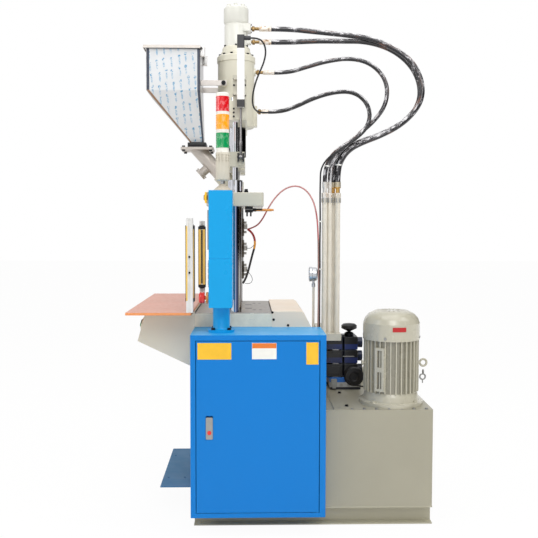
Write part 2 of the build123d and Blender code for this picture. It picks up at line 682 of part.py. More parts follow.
def feed_chute():
    x0, x1 = CHUTE_START[0] - 88, CHUTE_START[0] + 75
    z1 = CHUTE_START[2] + CHUTE_FLANGE_H
    plate = soft_block(x0, x1, -75, 75, CHUTE_START[2], z1, 8)
    tube = chute_axis() * (Pos(0, 0, CHUTE_LENGTH / 2 - 30) * Cylinder(CHUTE_R,
                                                                     CHUTE_LENGTH + 60))
    tube -= block(x0 - 100, x1 + 100, -100, 100, CHUTE_START[2], z1 + 200)
    side = chute_axis() * (Pos(-CHUTE_R - 14, 0, 92) * Rot(0, 90, 0) * Cylinder(22, 40))
    collar = chute_axis() * (Pos(-CHUTE_R - 30, 0, 92) * Rot(0, 90, 0) * Cylinder(32, 6))
    bore = chute_axis() * (Pos(0, 0, CHUTE_LENGTH / 2 - 30) * Cylinder(CHUTE_R - CHUTE_WALL,
                                                                     CHUTE_LENGTH + 62))
    side_bore = chute_axis() * (Pos(-CHUTE_R - 10, 0, 92) * Rot(0, 90, 0) * Cylinder(18, 60))
    body = plate + tube + side + collar - bore - side_bore
    for x in (x0 + 14, x1 - 14):
        for y in (-61, 61):
            body += hexagon_post(x, y, z1 - 1, z1 + 8, 14)
            body += hexagon_post(x, y, CHUTE_START[2] - 8, CHUTE_START[2] + 1, 14)
    return body


def drain_cap():
    seat = -CHUTE_R - 34 - EASE
    cap = Pos(seat - 5, 0, 92) * Rot(0, 90, 0) * Cylinder(30, 10)
    plug = Pos(seat + 6, 0, 92) * Rot(0, 90, 0) * Cylinder(18 - RUN, 18)
    return chute_axis() * (cap + plug)


def hopper():
    """Sheet hopper: four upright sheets, four sloping ones, a rim, and the gate's rails."""
    wall = HOPPER_WALL
    x0, x1, y = HOPPER_X0, HOPPER_X1, HOPPER_HALF_Y
    rim_z = HOPPER_Z1 - wall

    def ring(left, right, half, z, width):
        """Four mitred outlines round a rectangle: near, far, left and right."""
        outer = [(left, -half, z), (right, -half, z), (right, half, z), (left, half, z)]
        inner = [(left + width, -half + width, z), (right - width, -half + width, z),
                 (right - width, half - width, z), (left + width, half - width, z)]
        sides = []
        for i in range(4):
            j = (i + 1) % 4
            sides.append(make_face(Polyline([outer[i], outer[j], inner[j], inner[i]],
                                            close=True)))
        return sides

    solids = []
    knee = ring(x0, x1, y, HOPPER_KNEE_Z, wall)
    outlet = ring(OUTLET_X0, OUTLET_X1, OUTLET_HALF_Y, OUTLET_Z, wall)
    for high, low in zip(knee, outlet):
        solids.append(loft([low, high], ruled=True))
        solids.append(extrude(high, rim_z - HOPPER_KNEE_Z, dir=(0, 0, 1)))
    for strip in ring(x0 - 10, x1 + 10, y + 10, rim_z, wall + 10):
        solids.append(extrude(strip, wall, dir=(0, 0, 1)))
    low = CHUTE_START[2] + CHUTE_FLANGE_H
    rail_x0, rail_x1 = OUTLET_X0 - 6 - EASE, OUTLET_X1 + 6 + EASE
    for a, b in ((OUTLET_X0 - 12, rail_x0), (rail_x1, OUTLET_X1 + 12)):
        solids.append(block(a, b, -58, 58, low, OUTLET_Z))
    hole_x0, hole_x1 = OUTLET_X0 + wall, OUTLET_X1 - wall
    hole_y = OUTLET_HALF_Y - wall
    for z0, z1 in ((low, low + 8 - EASE), (low + 8 + GATE_T + EASE, OUTLET_Z)):
        solids.append(block(rail_x0, rail_x1, -58, -hole_y, z0, z1))
        solids.append(block(rail_x0, rail_x1, hole_y, 58, z0, z1))
        solids.append(block(rail_x0, hole_x0, -hole_y, hole_y, z0, z1))
        solids.append(block(hole_x1, rail_x1, -hole_y, hole_y, z0, z1))
    for side in (-1, 1):
        y0, y1 = sorted((side * (ARM_Y - 5), side * (ARM_Y + 5)))
        solids.append(block(x1, ARM_X1, y0, y1, ARM_Z - 13, ARM_Z + 13))
        bolt_y = sorted((side * (ARM_Y + 5), side * (ARM_Y + 12)))
        solids.append(bar_y(ARM_BOLT_X, bolt_y[0], bolt_y[1], ARM_Z, 9))
    hinge_x = x1 + LID_HINGE_OUT
    for mid in (-100, 100):
        solids.append(block(x1, x1 + 21, mid - 12, mid + 12, HOPPER_Z1 - 40, HOPPER_Z1 - 6))
        for y0, y1 in ((mid - 12, mid - 8), (mid + 8, mid + 12)):
            solids.append(block(x1 + 12, x1 + 21, y0, y1, HOPPER_Z1 - 6, HOPPER_Z1 + 8))
        solids.append(bar_y(hinge_x, mid - 8, mid + 8, HOPPER_Z1 + 4, 3))
    return group(solids)


def hopper_lid():
    """A tray-shaped lid with two hinge tongues at the side of the machine."""
    x0, x1 = HOPPER_X0 - 14, HOPPER_X1 + 2
    y = HOPPER_HALF_Y + 14
    z0 = HOPPER_Z1 + EASE
    lid = block(x0, x1, -y, y, z0 - 8, z0 + LID_H - 6)
    lid -= block(x0 + SHEET, x1 + 1, -y + SHEET, y - SHEET, z0 - 9, z0 + LID_H - 6 - SHEET)
    for y in (-100, 100):
        tongue = block(x1 - 4, HOPPER_X1 + LID_HINGE_OUT, y - 6, y + 6, z0 + 1, z0 + LID_H - 6)
        tongue += bar_y(HOPPER_X1 + LID_HINGE_OUT, y - 6, y + 6, HOPPER_Z1 + 4, 6)
        lid += tongue - bar_y(HOPPER_X1 + LID_HINGE_OUT, y - 7, y + 7, HOPPER_Z1 + 4, 3 + RUN)
    return lid


def hopper_gate():
    low = CHUTE_START[2] + CHUTE_FLANGE_H + 8
    blade = block(OUTLET_X0 - 6, OUTLET_X1 + 6, -56, 70, low, low + GATE_T)
    mid = (OUTLET_X0 + OUTLET_X1) / 2
    blade += soft_block(mid - 18, mid + 18, 64, 76, low - 8, low + 12, 3)
    return blade


# Fittings, pipes and hoses

def hose_end_x(x0, x1, y, z, r):
    """A hose end along X: union nut, neck and pressed sleeve."""
    long = x1 - x0
    sleeve = turned_x([(0, x0), (r * 0.75, x0), (r * 0.75, x0 + 0.45 * long),
                       (r + 1.5, x0 + 0.5 * long), (r + 1.5, x1), (0, x1)], y, z)
    return sleeve + hexagon_x(x0 + 0.12 * long, x0 + 0.38 * long, y, z, 2 * r + 4)


def hose_fittings():
    ends = [hose_end_x(74, HOSE_1[0][0], -20, HOSE_1[0][2], HOSE_R),
            hose_end_x(76, HOSE_2[0][0], -10, HOSE_2[0][2], HOSE_R),
            hose_end_x(98, HOSE_3[0][0], 0, HOSE_3[0][2], THIN_HOSE_R),
            hose_end_x(106, HOSE_4[0][0], -10, HOSE_4[0][2], THIN_HOSE_R)]
    clamp = block(46, 84, -214, -186, UPPER_Z0 - 28, UPPER_Z0)
    nipple = turned_x([(0, 84), (8, 84), (8, 100), (5, 104), (5, 186), (0, 186)],
                      -200, UPPER_Z0 - 16)
    return group(ends + [clamp, nipple])


def pipes():
    """Four steel pipes with cutting-ring nuts and brass hose ends, and the gauge's line."""
    solids = []
    for (x, y), hose_r in zip(PIPE_PLACES, (THIN_HOSE_R, THIN_HOSE_R, HOSE_R, HOSE_R)):
        pipe = turned([(PIPE_R - PIPE_WALL, HEADER_Z1), (PIPE_R, HEADER_Z1),
                       (PIPE_R, PIPE_NUT_Z), (PIPE_R - PIPE_WALL, PIPE_NUT_Z)], x, y)
        solids.append(pipe)
    line = FilletPolyline((380, GAUGE_Y, GAUGE_Z - GAUGE_R - 26),
                          (380, GAUGE_Y, HEADER_Z1 - 16), (420, GAUGE_Y, HEADER_Z1 - 16),
                          radius=22)
    start = Plane(origin=line @ 0, z_dir=line % 0)
    solids.append(sweep(start * Circle(6), path=line))
    return group(solids)


def pipe_ends():
    """Pipe nuts and brass hose ends on top of the pipes."""
    solids = []
    for (x, y), hose_r in zip(PIPE_PLACES, (THIN_HOSE_R, THIN_HOSE_R, HOSE_R, HOSE_R)):
        z = PIPE_NUT_Z
        end = turned([(0, z), (14, z), (14, PIPE_END_Z - 4), (10, PIPE_END_Z),
                      (10, PIPE_END_Z + 20), (hose_r + 1, PIPE_END_Z + 24),
                      (hose_r + 1, FITTING_END_Z), (0, FITTING_END_Z)], x, y)
        solids.append(end)
    return group(solids)


# Operator's side

HOUSING_OUTLINE = [(FRAME_X0, TABLE_Z0), (-420, TABLE_Z0), (-458, 825), (FRAME_X0, 697)]


def table_top():
    board = soft_block(TABLE_X0, TABLE_X1, -TABLE_HALF_Y, TABLE_FAR_Y, TABLE_Z0,
                       TABLE_Z0 + TABLE_H, 6)
    return chamfer(board.edges().group_by(Axis.Z)[-1], 1)


def start_plane(y):
    """A frame on the housing's sloping face, with Z out of the face."""
    a, b = HOUSING_OUTLINE[1], HOUSING_OUTLINE[2]
    t = 0.45
    x, z = a[0] + (b[0] - a[0]) * t, a[1] + (b[1] - a[1]) * t
    long = math.hypot(b[0] - a[0], b[1] - a[1])
    out = ((b[1] - a[1]) / long, 0, (a[0] - b[0]) / long)
    return Plane(origin=(x, y, z), x_dir=(0, 1, 0), z_dir=out)


def control_housing():
    """Folded housing under the table, open towards the press frame, with button bezels."""
    shrink = SHEET
    body = slab_xz(HOUSING_OUTLINE, -FRAME_HALF_Y, FRAME_HALF_Y)
    inner = slab_xz([(FRAME_X0 + 1, TABLE_Z0 - shrink), (-418.5, TABLE_Z0 - shrink),
                     (-455.5, 826.4), (FRAME_X0 + 1, 699.6)],
                    -FRAME_HALF_Y + shrink, FRAME_HALF_Y - shrink)
    body -= inner
    for y in (-START_Y, START_Y):
        place = start_plane(y)
        body += place * (Pos(0, 0, 3) * Cylinder(START_R + 9, 10))
        body -= place * (Pos(0, 0, 4) * Cylinder(START_R + EASE, 20))
        body += place * (Pos(0, 0, -14) * Cylinder(START_R + 9, 26)) - place * (
            Pos(0, 0, -7) * Cylinder(START_R + EASE, 30))
    return body


def start_button(y):
    head = Pos(0, 0, 4) * Cylinder(START_R, 20)
    head = fillet(head.edges().group_by(Axis.Z)[-1], 5)
    return start_plane(y) * head


def light_curtains():
    """Two aluminium posts on the table with the emitter and the receiver on them."""
    z0 = TABLE_Z0 + TABLE_H
    solids = []
    for side in (-1, 1):
        y = side * POST_Y
        upright = block(POST_X - POST / 2, POST_X + POST / 2, y - POST / 2, y + POST / 2,
                        z0, z0 + POST_H)
        for sx, sy in ((1, 0), (-1, 0), (0, 1), (0, -1)):
            gx, gy = POST_X + sx * POST / 2, y + sy * POST / 2
            wx, wy = (5, 4) if sx else (4, 5)
            upright -= block(gx - wx, gx + wx, gy - wy, gy + wy, z0 - 1, z0 + POST_H + 1)
        solids.append(upright)
        y0, y1 = sorted((side * (POST_Y - POST / 2), side * (POST_Y - POST / 2 - 32)))
        head = soft_block(POST_X - 20, POST_X + 20, y0, y1, 1030, 1365, 5)
        win = sorted((side * (POST_Y - POST / 2 - 33), side * (POST_Y - POST / 2 - 28)))
        head -= block(POST_X - 12, POST_X + 12, win[0], win[1], 1045, 1350)
        solids.append(head)
    return group(solids)


def foot_plate():
    x1 = FRAME_X0
    y = FRAME_HALF_Y
    plate = soft_block(FOOT_X0, x1, -y, y, FOOT_Z - 4, FOOT_Z, 6)
    plate += block(x1 - 4, x1, -y, y, FOOT_Z - 40, FOOT_Z)
    for x in (-330, -250):
        for y in (-180, 180):
            plate -= post(x, y, FOOT_Z - 10, FOOT_Z + 1, 6)
    for y in (-200, 200):
        plate += slab_xz([(x1 - 4, FOOT_Z - 4), (-330, FOOT_Z - 4), (x1 - 4, FOOT_Z - 38)],
                         y - 3, y + 3)
    return plate


# Cabinet

def cabinet_body():
    """Sheet cabinet with an inset door frame, hinge pins and a lead box at its back."""
    body = block(CAB_X0, CAB_X1, CAB_Y0, CAB_Y1, BASE_H, CAB_Z1)
    body = fillet(body.edges().filter_by(Axis.Z).group_by(Axis.Y)[0], 4)
    body -= block(CAB_X0 + SHEET, CAB_X1 - SHEET, CAB_Y0 + SHEET, CAB_Y1 - SHEET,
                  BASE_H + SHEET, CAB_Z1 - SHEET)
    gap = DOOR_GAP
    body -= block(DOOR_X0 - gap, DOOR_X1 + gap, CAB_Y0 - 1, CAB_Y0 + SHEET + 1,
                  DOOR_Z0 - gap, DOOR_Z1 + gap)
    lip_y = CAB_Y0 + DOOR_DEEP + 2
    for z0, z1 in ((DOOR_Z0 - gap - SHEET, DOOR_Z0 - gap), (DOOR_Z1 + gap, DOOR_Z1 + gap + SHEET)):
        body += block(DOOR_X0 - gap, DOOR_X1 + gap, CAB_Y0 + 1, lip_y, z0, z1)
    body += post(HINGE_X, HINGE_Y, DOOR_Z1 - 6, DOOR_Z1 + gap + 1, HINGE_R)
    body += post(HINGE_X, HINGE_Y, DOOR_Z0 - gap - 1, DOOR_Z0 + 6, HINGE_R)
    body += block(385, 413.5, CAB_Y1 - 1, -209, 780, 850)
    body += bar_x(CAB_X1 - 1, CAB_X1 + 4, SWITCH_Y, SWITCH_Z, 42)
    body -= bar_x(CAB_X1 - 5, CAB_X1 + 6, SWITCH_Y, SWITCH_Z, 6 + RUN)
    return body


def cabinet_door():
    """A folded tray door with a pan for its swing handle."""
    door = block(DOOR_X0, DOOR_X1, CAB_Y0, CAB_Y0 + DOOR_DEEP, DOOR_Z0, DOOR_Z1)
    door -= block(DOOR_X0 + SHEET, DOOR_X1 - SHEET, CAB_Y0 + SHEET, CAB_Y0 + DOOR_DEEP + 1,
                  DOOR_Z0 + SHEET, DOOR_Z1 - SHEET)
    for z0, z1 in ((DOOR_Z0 - 1, DOOR_Z0 + 3), (DOOR_Z1 - 3, DOOR_Z1 + 1)):
        door -= post(HINGE_X, HINGE_Y, z0, z1, HINGE_R + RUN)
    pan_y = CAB_Y0 + 16
    door += block(LATCH_X0 - 4, LATCH_X1 + 4, CAB_Y0 + 1, pan_y, LATCH_Z0 - 4, LATCH_Z1 + 7)
    door -= block(LATCH_X0 - 1, LATCH_X1 + 1, CAB_Y0 - 1, pan_y - 2, LATCH_Z0 - 1,
                  LATCH_Z1 + 4)
    door += bar_x(LATCH_X0 - 2, LATCH_X1 + 2, CAB_Y0 + 6, LATCH_Z1 - 8, 2.5)
    return door


BUTTON_Z = 462.0


def latch_handle():
    handle = block(LATCH_X0, LATCH_X1, CAB_Y0 - 2, CAB_Y0 + 3, LATCH_Z0, LATCH_Z1 - 3)
    handle = fillet(handle.edges().filter_by(Axis.Y), 5)
    handle += bar_x(LATCH_X0 + 4, LATCH_X1 - 4, CAB_Y0 + 6, LATCH_Z1 - 8, 5.5)
    handle -= bar_x(LATCH_X0 - 4, LATCH_X1 + 4, CAB_Y0 + 6, LATCH_Z1 - 8, 2.5 + RUN)
    mid = (LATCH_X0 + LATCH_X1) / 2
    handle += bar_y(mid, CAB_Y0 + 2, CAB_Y0 + 10, BUTTON_Z, 11.5)
    return handle - bar_y(mid, CAB_Y0 - 3, CAB_Y0 + 8, BUTTON_Z, 9 + EASE)


def latch_button():
    mid = (LATCH_X0 + LATCH_X1) / 2
    return bar_y(mid, CAB_Y0 - 4, CAB_Y0 + 5, BUTTON_Z, 9)


def switch_knob():
    """Main switch: a round plate with a grip bar and its spindle."""
    x = CAB_X1 + 4 + EASE
    knob = turned_x([(0, x), (30, x), (30, x + 5), (26, x + 7), (0, x + 7)], SWITCH_Y, SWITCH_Z)
    knob += block(x + 3, x + 14, SWITCH_Y - 8, SWITCH_Y + 8, SWITCH_Z - 28, SWITCH_Z + 28)
    return knob + bar_x(CAB_X1 - 12, x + 1, SWITCH_Y, SWITCH_Z, 6)


def control_gear():
    """Mounting plate with rails of contactors, relays and terminals."""
    y1 = CAB_Y1 - SHEET - 8
    solids = [block(-150, 340, y1 - 3, y1, 140, 830)]
    stand = []
    for x in (-130, 320):
        for z in (160, 810):
            stand.append(bar_y(x, y1, CAB_Y1 - SHEET, z, 5))
    for z, w, h, d, count in ((690, 44, 88, 80, 8), (520, 54, 76, 90, 6), (250, 22, 60, 48, 14)):
        solids.append(block(-140, 330, y1 - 10, y1 - 3, z + h / 2 - 17, z + h / 2 + 17))
        for i in range(count):
            x = -128 + i * (w + 3)
            device = block(x, x + w, y1 - 10 - d, y1 - 10, z, z + h)
            device -= block(x - 1, x + w + 1, y1 - 11 - d, y1 - 10 - 0.6 * d, z - 1, z + 0.22 * h)
            device -= block(x - 1, x + w + 1, y1 - 11 - d, y1 - 10 - 0.6 * d, z + 0.78 * h,
                            z + h + 1)
            solids.append(device)
    return group(solids + stand)


# Console and tower light

def console_column():
    z0 = CAB_Z1
    column = turned([(0, z0), (60, z0), (60, z0 + 12), (COLUMN_R + 6, z0 + 12),
                     (COLUMN_R, z0 + 20), (COLUMN_R, CONSOLE_Z0 - EASE),
                     (PIVOT_R, CONSOLE_Z0 - EASE), (PIVOT_R, CONSOLE_Z0 + 24),
                     (0, CONSOLE_Z0 + 24)], CONSOLE_X, CONSOLE_Y)
    for turn in range(4):
        a = math.radians(90 * turn + 45)
        column += hexagon_post(CONSOLE_X + 50 * math.cos(a), CONSOLE_Y + 50 * math.sin(a),
                               z0 + 11, z0 + 18, 12)
    return column


CONSOLE_SEAM_Z = 1223.0
SELECTOR_Z = 1488.0


def console_box():
    x0, x1 = CONSOLE_X - CONSOLE_HALF_X, CONSOLE_X + CONSOLE_HALF_X
    y0, y1 = CONSOLE_Y - CONSOLE_HALF_Y, CONSOLE_Y + CONSOLE_HALF_Y
    body = block(x0, x1, y0, y1, CONSOLE_Z0, CONSOLE_Z1)
    body = fillet(body.edges().filter_by(Axis.Z).group_by(Axis.X)[-1], 6)
    body -= block(x0 - 1, x1 - SHEET, y0 + SHEET, y1 - SHEET, CONSOLE_Z0 + 4,
                  CONSOLE_Z1 - SHEET)
    body += post(CONSOLE_X, CONSOLE_Y, CONSOLE_Z0 + 1, CONSOLE_Z0 + 30, PIVOT_R + 10)
    body -= post(CONSOLE_X, CONSOLE_Y, CONSOLE_Z0 - 1, CONSOLE_Z0 + 31, PIVOT_R + RUN)
    for y in (y0, y1):
        body -= block(x0 - 1, x1 + 1, y - 0.8, y + 0.8, CONSOLE_SEAM_Z, CONSOLE_SEAM_Z + 2)
    return body


def console_panel():
    """Front panel in the console's mouth, with the screen's frame and the key field."""
    x0 = CONSOLE_X - CONSOLE_HALF_X
    y0, y1 = CONSOLE_Y - CONSOLE_HALF_Y + SHEET, CONSOLE_Y + CONSOLE_HALF_Y - SHEET
    panel = block(x0, x0 + 4, y0 + EASE, y1 - EASE, CONSOLE_Z0 + 4 + EASE,
                  CONSOLE_Z1 - SHEET - EASE)
    panel += block(x0 - 6, x0 + 1, y0 + 14, y1 - 14, 1262, 1434)
    panel -= block(x0 - 7, x0 - 3, y0 + 26, y1 - 26, 1276, 1420)
    panel += block(x0 - 3, x0 + 1, y0 + 14, y1 - 14, 1098, 1216)
    for row in range(4):
        for column in range(6):
            y = y0 + 27 + column * 30
            z = 1108 + row * 26
            panel += block(x0 - 5, x0 - 2, y, y + 22, z, z + 18)
    panel += bar_x(x0 - 9, x0 + 1, CONSOLE_Y, STOP_Z, 24)
    panel -= bar_x(x0 - 10, x0 + 5, CONSOLE_Y, STOP_Z, 9 + EASE)
    panel += block(x0 - 5, x0 + 1, y0 + 8, y0 + 40, 1462, 1512)
    panel -= bar_x(x0 - 10, x0 + 5, y0 + 24, SELECTOR_Z, 6 + EASE)
    return panel


def stop_button():
    """Mushroom head on a plain stem."""
    x0 = CONSOLE_X - CONSOLE_HALF_X
    return turned_x([(0, x0 - 50), (14, x0 - 49), (20, x0 - 44), (20, x0 - 30), (12, x0 - 24),
                     (9, x0 - 22), (9, x0 + 8), (0, x0 + 8)], CONSOLE_Y, STOP_Z)


def selector_knob():
    x0 = CONSOLE_X - CONSOLE_HALF_X
    y = CONSOLE_Y - CONSOLE_HALF_Y + SHEET + 24
    knob = turned_x([(0, x0 - 18), (9, x0 - 18), (11, x0 - 5 - EASE), (6, x0 - 5 - EASE),
                     (6, x0 + 10), (0, x0 + 10)], y, SELECTOR_Z)
    return knob + block(x0 - 22, x0 - 17, y - 3, y + 3, SELECTOR_Z - 10, SELECTOR_Z + 10)


TOWER_Z = [1566.0, 1688.0, 1711.0, 1792.0, 1871.0, 1937.0, 1954.0]


def tower_body():
    """Foot, pole, sounder, spacers and cap; the spacers separate the lenses."""
    z0 = CONSOLE_Z1
    r = TOWER_R
    foot = turned([(0, z0), (43, z0), (43, z0 + 4), (12, z0 + 32), (10, z0 + 32),
                   (10, TOWER_Z[0]), (0, TOWER_Z[0])], TOWER_X, CONSOLE_Y)
    sounder = turned([(0, TOWER_Z[0]), (r - 5, TOWER_Z[0]), (r, TOWER_Z[0] + 5),
                      (r, TOWER_Z[1]), (r - 3, TOWER_Z[1] + 4), (r - 3, TOWER_Z[2]),
                      (0, TOWER_Z[2])], TOWER_X, CONSOLE_Y)
    for i in range(12):
        slot = block(r - 3, r + 2, -5, 5, 0, 6)
        for z in (TOWER_Z[1] - 14, TOWER_Z[1] - 26, TOWER_Z[1] - 38):
            sounder -= Pos(TOWER_X, CONSOLE_Y, z) * Rot(0, 0, 30 * i) * slot
    solids = [foot, sounder]
    for low, high in ((TOWER_Z[2] + LENS_H, TOWER_Z[3]), (TOWER_Z[3] + LENS_H, TOWER_Z[4])):
        solids.append(turned([(0, low), (r - 2, low), (r - 2, high), (0, high)],
                             TOWER_X, CONSOLE_Y))
    top = TOWER_Z[5]
    solids.append(turned([(0, top), (r - 1, top), (r - 1, top + 12), (r - 6, TOWER_Z[6]),
                          (0, TOWER_Z[6])], TOWER_X, CONSOLE_Y))
    return group(solids)


def tower_lens(z0):
    """A ribbed lens drum."""
    lens = turned([(0, z0), (TOWER_R - 1, z0), (TOWER_R - 1, z0 + LENS_H), (0, z0 + LENS_H)],
                  TOWER_X, CONSOLE_Y)
    return lens


def tower_lenses():
    return group([tower_lens(z) for z in (TOWER_Z[2], TOWER_Z[3], TOWER_Z[4])])


# Oil tank and drive

def oil_tank():
    """Welded tank, open under its lid, with a level glass boss and a drain boss behind."""
    top = TANK_Z1 - 8
    tank = block(TANK_X0, BASE_X1, -BASE_HALF_Y, BASE_HALF_Y, BASE_H, top)
    tank = fillet(tank.edges().filter_by(Axis.Z), 6)
    tank -= block(TANK_X0 + TANK_WALL, BASE_X1 - TANK_WALL, -BASE_HALF_Y + TANK_WALL,
                  BASE_HALF_Y - TANK_WALL, BASE_H + TANK_WALL, top + 1)
    return tank


def tank_lid():
    lid = soft_block(TANK_X0, BASE_X1, -BASE_HALF_Y, BASE_HALF_Y, TANK_Z1 - 8, TANK_Z1, 6)
    lid -= post(MOTOR_X, MOTOR_Y, TANK_Z1 - 9, TANK_Z1 + 1, 60)
    lid += turned([(0, TANK_Z1), (44, TANK_Z1), (44, TANK_Z1 + 8), (34, TANK_Z1 + 8),
                   (34, TANK_Z1 + 24), (0, TANK_Z1 + 24)], 700, 250)
    lid -= post(700, 250, TANK_Z1 - 9, TANK_Z1 + 26, 28)
    lid += block(TANK_X0 + 4, TANK_X0 + 80, 6 - BASE_HALF_Y, -94, TANK_Z1, TANK_Z1 + 5)
    return lid


def filler_cap():
    z = TANK_Z1 + 24 + EASE
    cap = turned([(0, z), (42, z), (42, z + 30), (34, z + 40), (0, z + 42)], 700, 250)
    return cap + post(700, 250, z - 20, z + 1, 28 - RUN)


def motor_body():
    """Foot-less flange motor: bell flange, finned frame, terminal pad and lifting eyes."""
    x, y = MOTOR_X, MOTOR_Y
    z = TANK_Z1
    body = turned([(0, z), (MOTOR_FLANGE_R, z), (MOTOR_FLANGE_R, z + 18),
                   (MOTOR_R + 14, z + 22), (MOTOR_R + 8, z + 48), (MOTOR_R, FIN_Z0),
                   (MOTOR_R, FIN_Z1), (MOTOR_R - 30, FIN_Z1 + 10), (0, FIN_Z1 + 10)], x, y)
    fin = block(MOTOR_R - 4, FIN_R, -FIN_T / 2, FIN_T / 2, FIN_Z0, FIN_Z1)
    fins = [Pos(x, y, 0) * Rot(0, 0, 360 / FIN_COUNT * i) * fin for i in range(FIN_COUNT)]
    body = body + fins
    pad = block(MOTOR_R - 12, FIN_R + 5, -23, 23, 604, 806)
    for z0 in (616, 716):
        pad -= block(FIN_R - 2, FIN_R + 6, -11, 11, z0, z0 + 78)
    body += Pos(x, y, 0) * Rot(0, 0, -124) * pad
    for turn in range(4):
        a = math.radians(90 * turn + 45)
        body += hexagon_post(x + 138 * math.cos(a), y + 138 * math.sin(a), z + 17, z + 28, 20)
    for side in (-1, 1):
        x0, x1 = sorted((x + side * (MOTOR_R - 4), x + side * (FIN_R + 7)))
        body += bar_x(x0, x1, y, 720, 8)
    body += bar_x(x - FIN_R - 11, x - FIN_R - 5, y, 720, 13)
    body += Pos(x + FIN_R + 24, y, 720) * Rot(90, 0, 0) * Torus(16, 5)
    return body - post(x, y, TANK_Z1 - 1, FIN_Z1 + 12, SHAFT_R + RUN)


def fan_cowl():
    """Pressed cowl over the fan, with slots in its top."""
    x, y = MOTOR_X, MOTOR_Y
    r, z1 = COWL_R, COWL_TOP_Z
    z0 = FIN_Z1
    t = 2.5
    shoulder = z1 - 56
    cowl = turned([(r - t, z0), (r, z0), (r, shoulder), (r - 8, shoulder + 22),
                   (r - 26, shoulder + 42), (78, z1), (0, z1), (0, z1 - t), (77, z1 - t),
                   (r - 27.5, shoulder + 40), (r - 10, shoulder + 21), (r - t, shoulder)],
                  x, y)
    cowl += turned([(MOTOR_R + EASE, z0), (r - 1, z0), (r - 1, z0 + 3),
                    (MOTOR_R + EASE, z0 + 3)], x, y)
    slot = block(28, 68, -3.5, 3.5, z1 - 10, z1 + 2)
    for i in range(16):
        cowl -= Pos(x, y, 0) * Rot(0, 0, 22.5 * i) * slot
    return cowl


def motor_rotor():
    """Motor shaft with its fan."""
    x, y = MOTOR_X, MOTOR_Y
    rotor = turned([(0, TANK_Z1 - 60), (SHAFT_R, TANK_Z1 - 60), (SHAFT_R, FIN_Z1 + 30),
                    (30, FIN_Z1 + 30), (30, FIN_Z1 + 70), (0, FIN_Z1 + 70)], x, y)
    rotor += turned([(26, FIN_Z1 + 30), (112, FIN_Z1 + 30), (112, FIN_Z1 + 33),
                     (26, FIN_Z1 + 33)], x, y)
    blade = block(24, 110, -2, 2, FIN_Z1 + 32, FIN_Z1 + 68)
    for i in range(BLADE_COUNT):
        rotor += Pos(x, y, 0) * Rot(0, 0, 360 / BLADE_COUNT * i) * blade
    return rotor


def valve_manifold():
    """Manifold block on the tank with the riser and the long header of the pipes."""
    y1 = RISER_Y1
    body = block(VALVE_X0 - 60, VALVE_X1 + 23, VALVE_Y0, y1, TANK_Z1, VALVE_Z0)
    header = soft_block(414, RISER_X1, -242, y1, HEADER_Z1 - 33, HEADER_Z1, 6)
    for x, y in PIPE_PLACES:
        header -= post(x, y, HEADER_Z1 - 26, HEADER_Z1 + 1, PIPE_R - PIPE_WALL)
    header -= bar_x(404, 421, GAUGE_Y, HEADER_Z1 - 16, 6.2)
    riser = block(RISER_X0, RISER_X1, VALVE_BACK_Y + 12, y1, TANK_Z1, HEADER_Z1 - 33)
    return body + header + riser


def valve_top():
    return VALVE_Z0 + VALVE_COUNT * (VALVE_H + 4)


def valve_bodies():
    """Stacked valves, each with a coil at both ends, and the relief valve on top."""
    solids = []
    x0, x1 = VALVE_X0, VALVE_X1
    for i in range(VALVE_COUNT):
        z0 = VALVE_Z0 + i * (VALVE_H + 4)
        z1 = z0 + VALVE_H
        body = block(x0, x1, VALVE_Y0 + 8, VALVE_BACK_Y, z0, z1)
        body -= block(x0 + 18, x1 - 18, VALVE_Y0 + 6, VALVE_Y0 + 22, z0 + 18, z1 - 18)
        plate = block(x0 - 6, x1 + 6, VALVE_Y0 + 4, VALVE_BACK_Y, z1, z1 + 4)
        solids += [body, plate]
        y = (VALVE_Y0 + VALVE_BACK_Y) / 2 + 4
        for a, b in ((x0 - 84, x0), (x1, x1 + 38)):
            coil = bar_x(a, b, y, (z0 + z1) / 2, 27)
            coil -= bar_x(a + 14, a + 17, y, (z0 + z1) / 2, 29) - bar_x(
                a + 13, a + 18, y, (z0 + z1) / 2, 24)
            solids.append(coil)
    top = valve_top()
    neck = turned([(9 + RUN, top), (24, top), (24, top + 14), (15, top + 20),
                   (9 + RUN, top + 20)], RELIEF_X, RELIEF_Y)
    return group(solids + [neck])


def relief_knob():
    top = valve_top()
    return turned([(0, top + 2), (9, top + 2), (9, top + 24), (26, top + 32), (40, top + 39),
                   (40, top + 54), (30, top + 62), (0, top + 66)], RELIEF_X, RELIEF_Y)


def gauge_case():
    """Round gauge that faces the operator, on its stem."""
    x0 = GAUGE_X0
    case = turned_x([(0, x0 + 12), (GAUGE_R - 5, x0 + 12), (GAUGE_R - 5, x0), (GAUGE_R, x0),
                     (GAUGE_R, x0 + 12), (GAUGE_R - 3, x0 + 14), (GAUGE_R - 3, x0 + 34),
                     (GAUGE_R - 10, x0 + 39), (0, x0 + 39)], GAUGE_Y, GAUGE_Z)
    case -= bar_x(x0 + 10, x0 + 16, GAUGE_Y, GAUGE_Z, 2 + RUN)
    low = GAUGE_Z - GAUGE_R - 26
    stem = turned([(0, low), (9, low), (9, low + 16), (6, low + 18), (6, low + 34), (0, low + 34)],
                  380, GAUGE_Y)
    return case + stem


def gauge_needle():
    x = GAUGE_X0 + 8
    needle = turned_x([(0, x), (4, x), (4, x + 2), (2, x + 2), (2, x + 7), (0, x + 7)],
                      GAUGE_Y, GAUGE_Z)
    return needle + slab_yz([(GAUGE_Y - 2, GAUGE_Z - 8), (GAUGE_Y + 2, GAUGE_Z - 8),
                             (GAUGE_Y + 0.6, GAUGE_Z + 24), (GAUGE_Y - 0.6, GAUGE_Z + 24)],
                            x, x + 1.2)


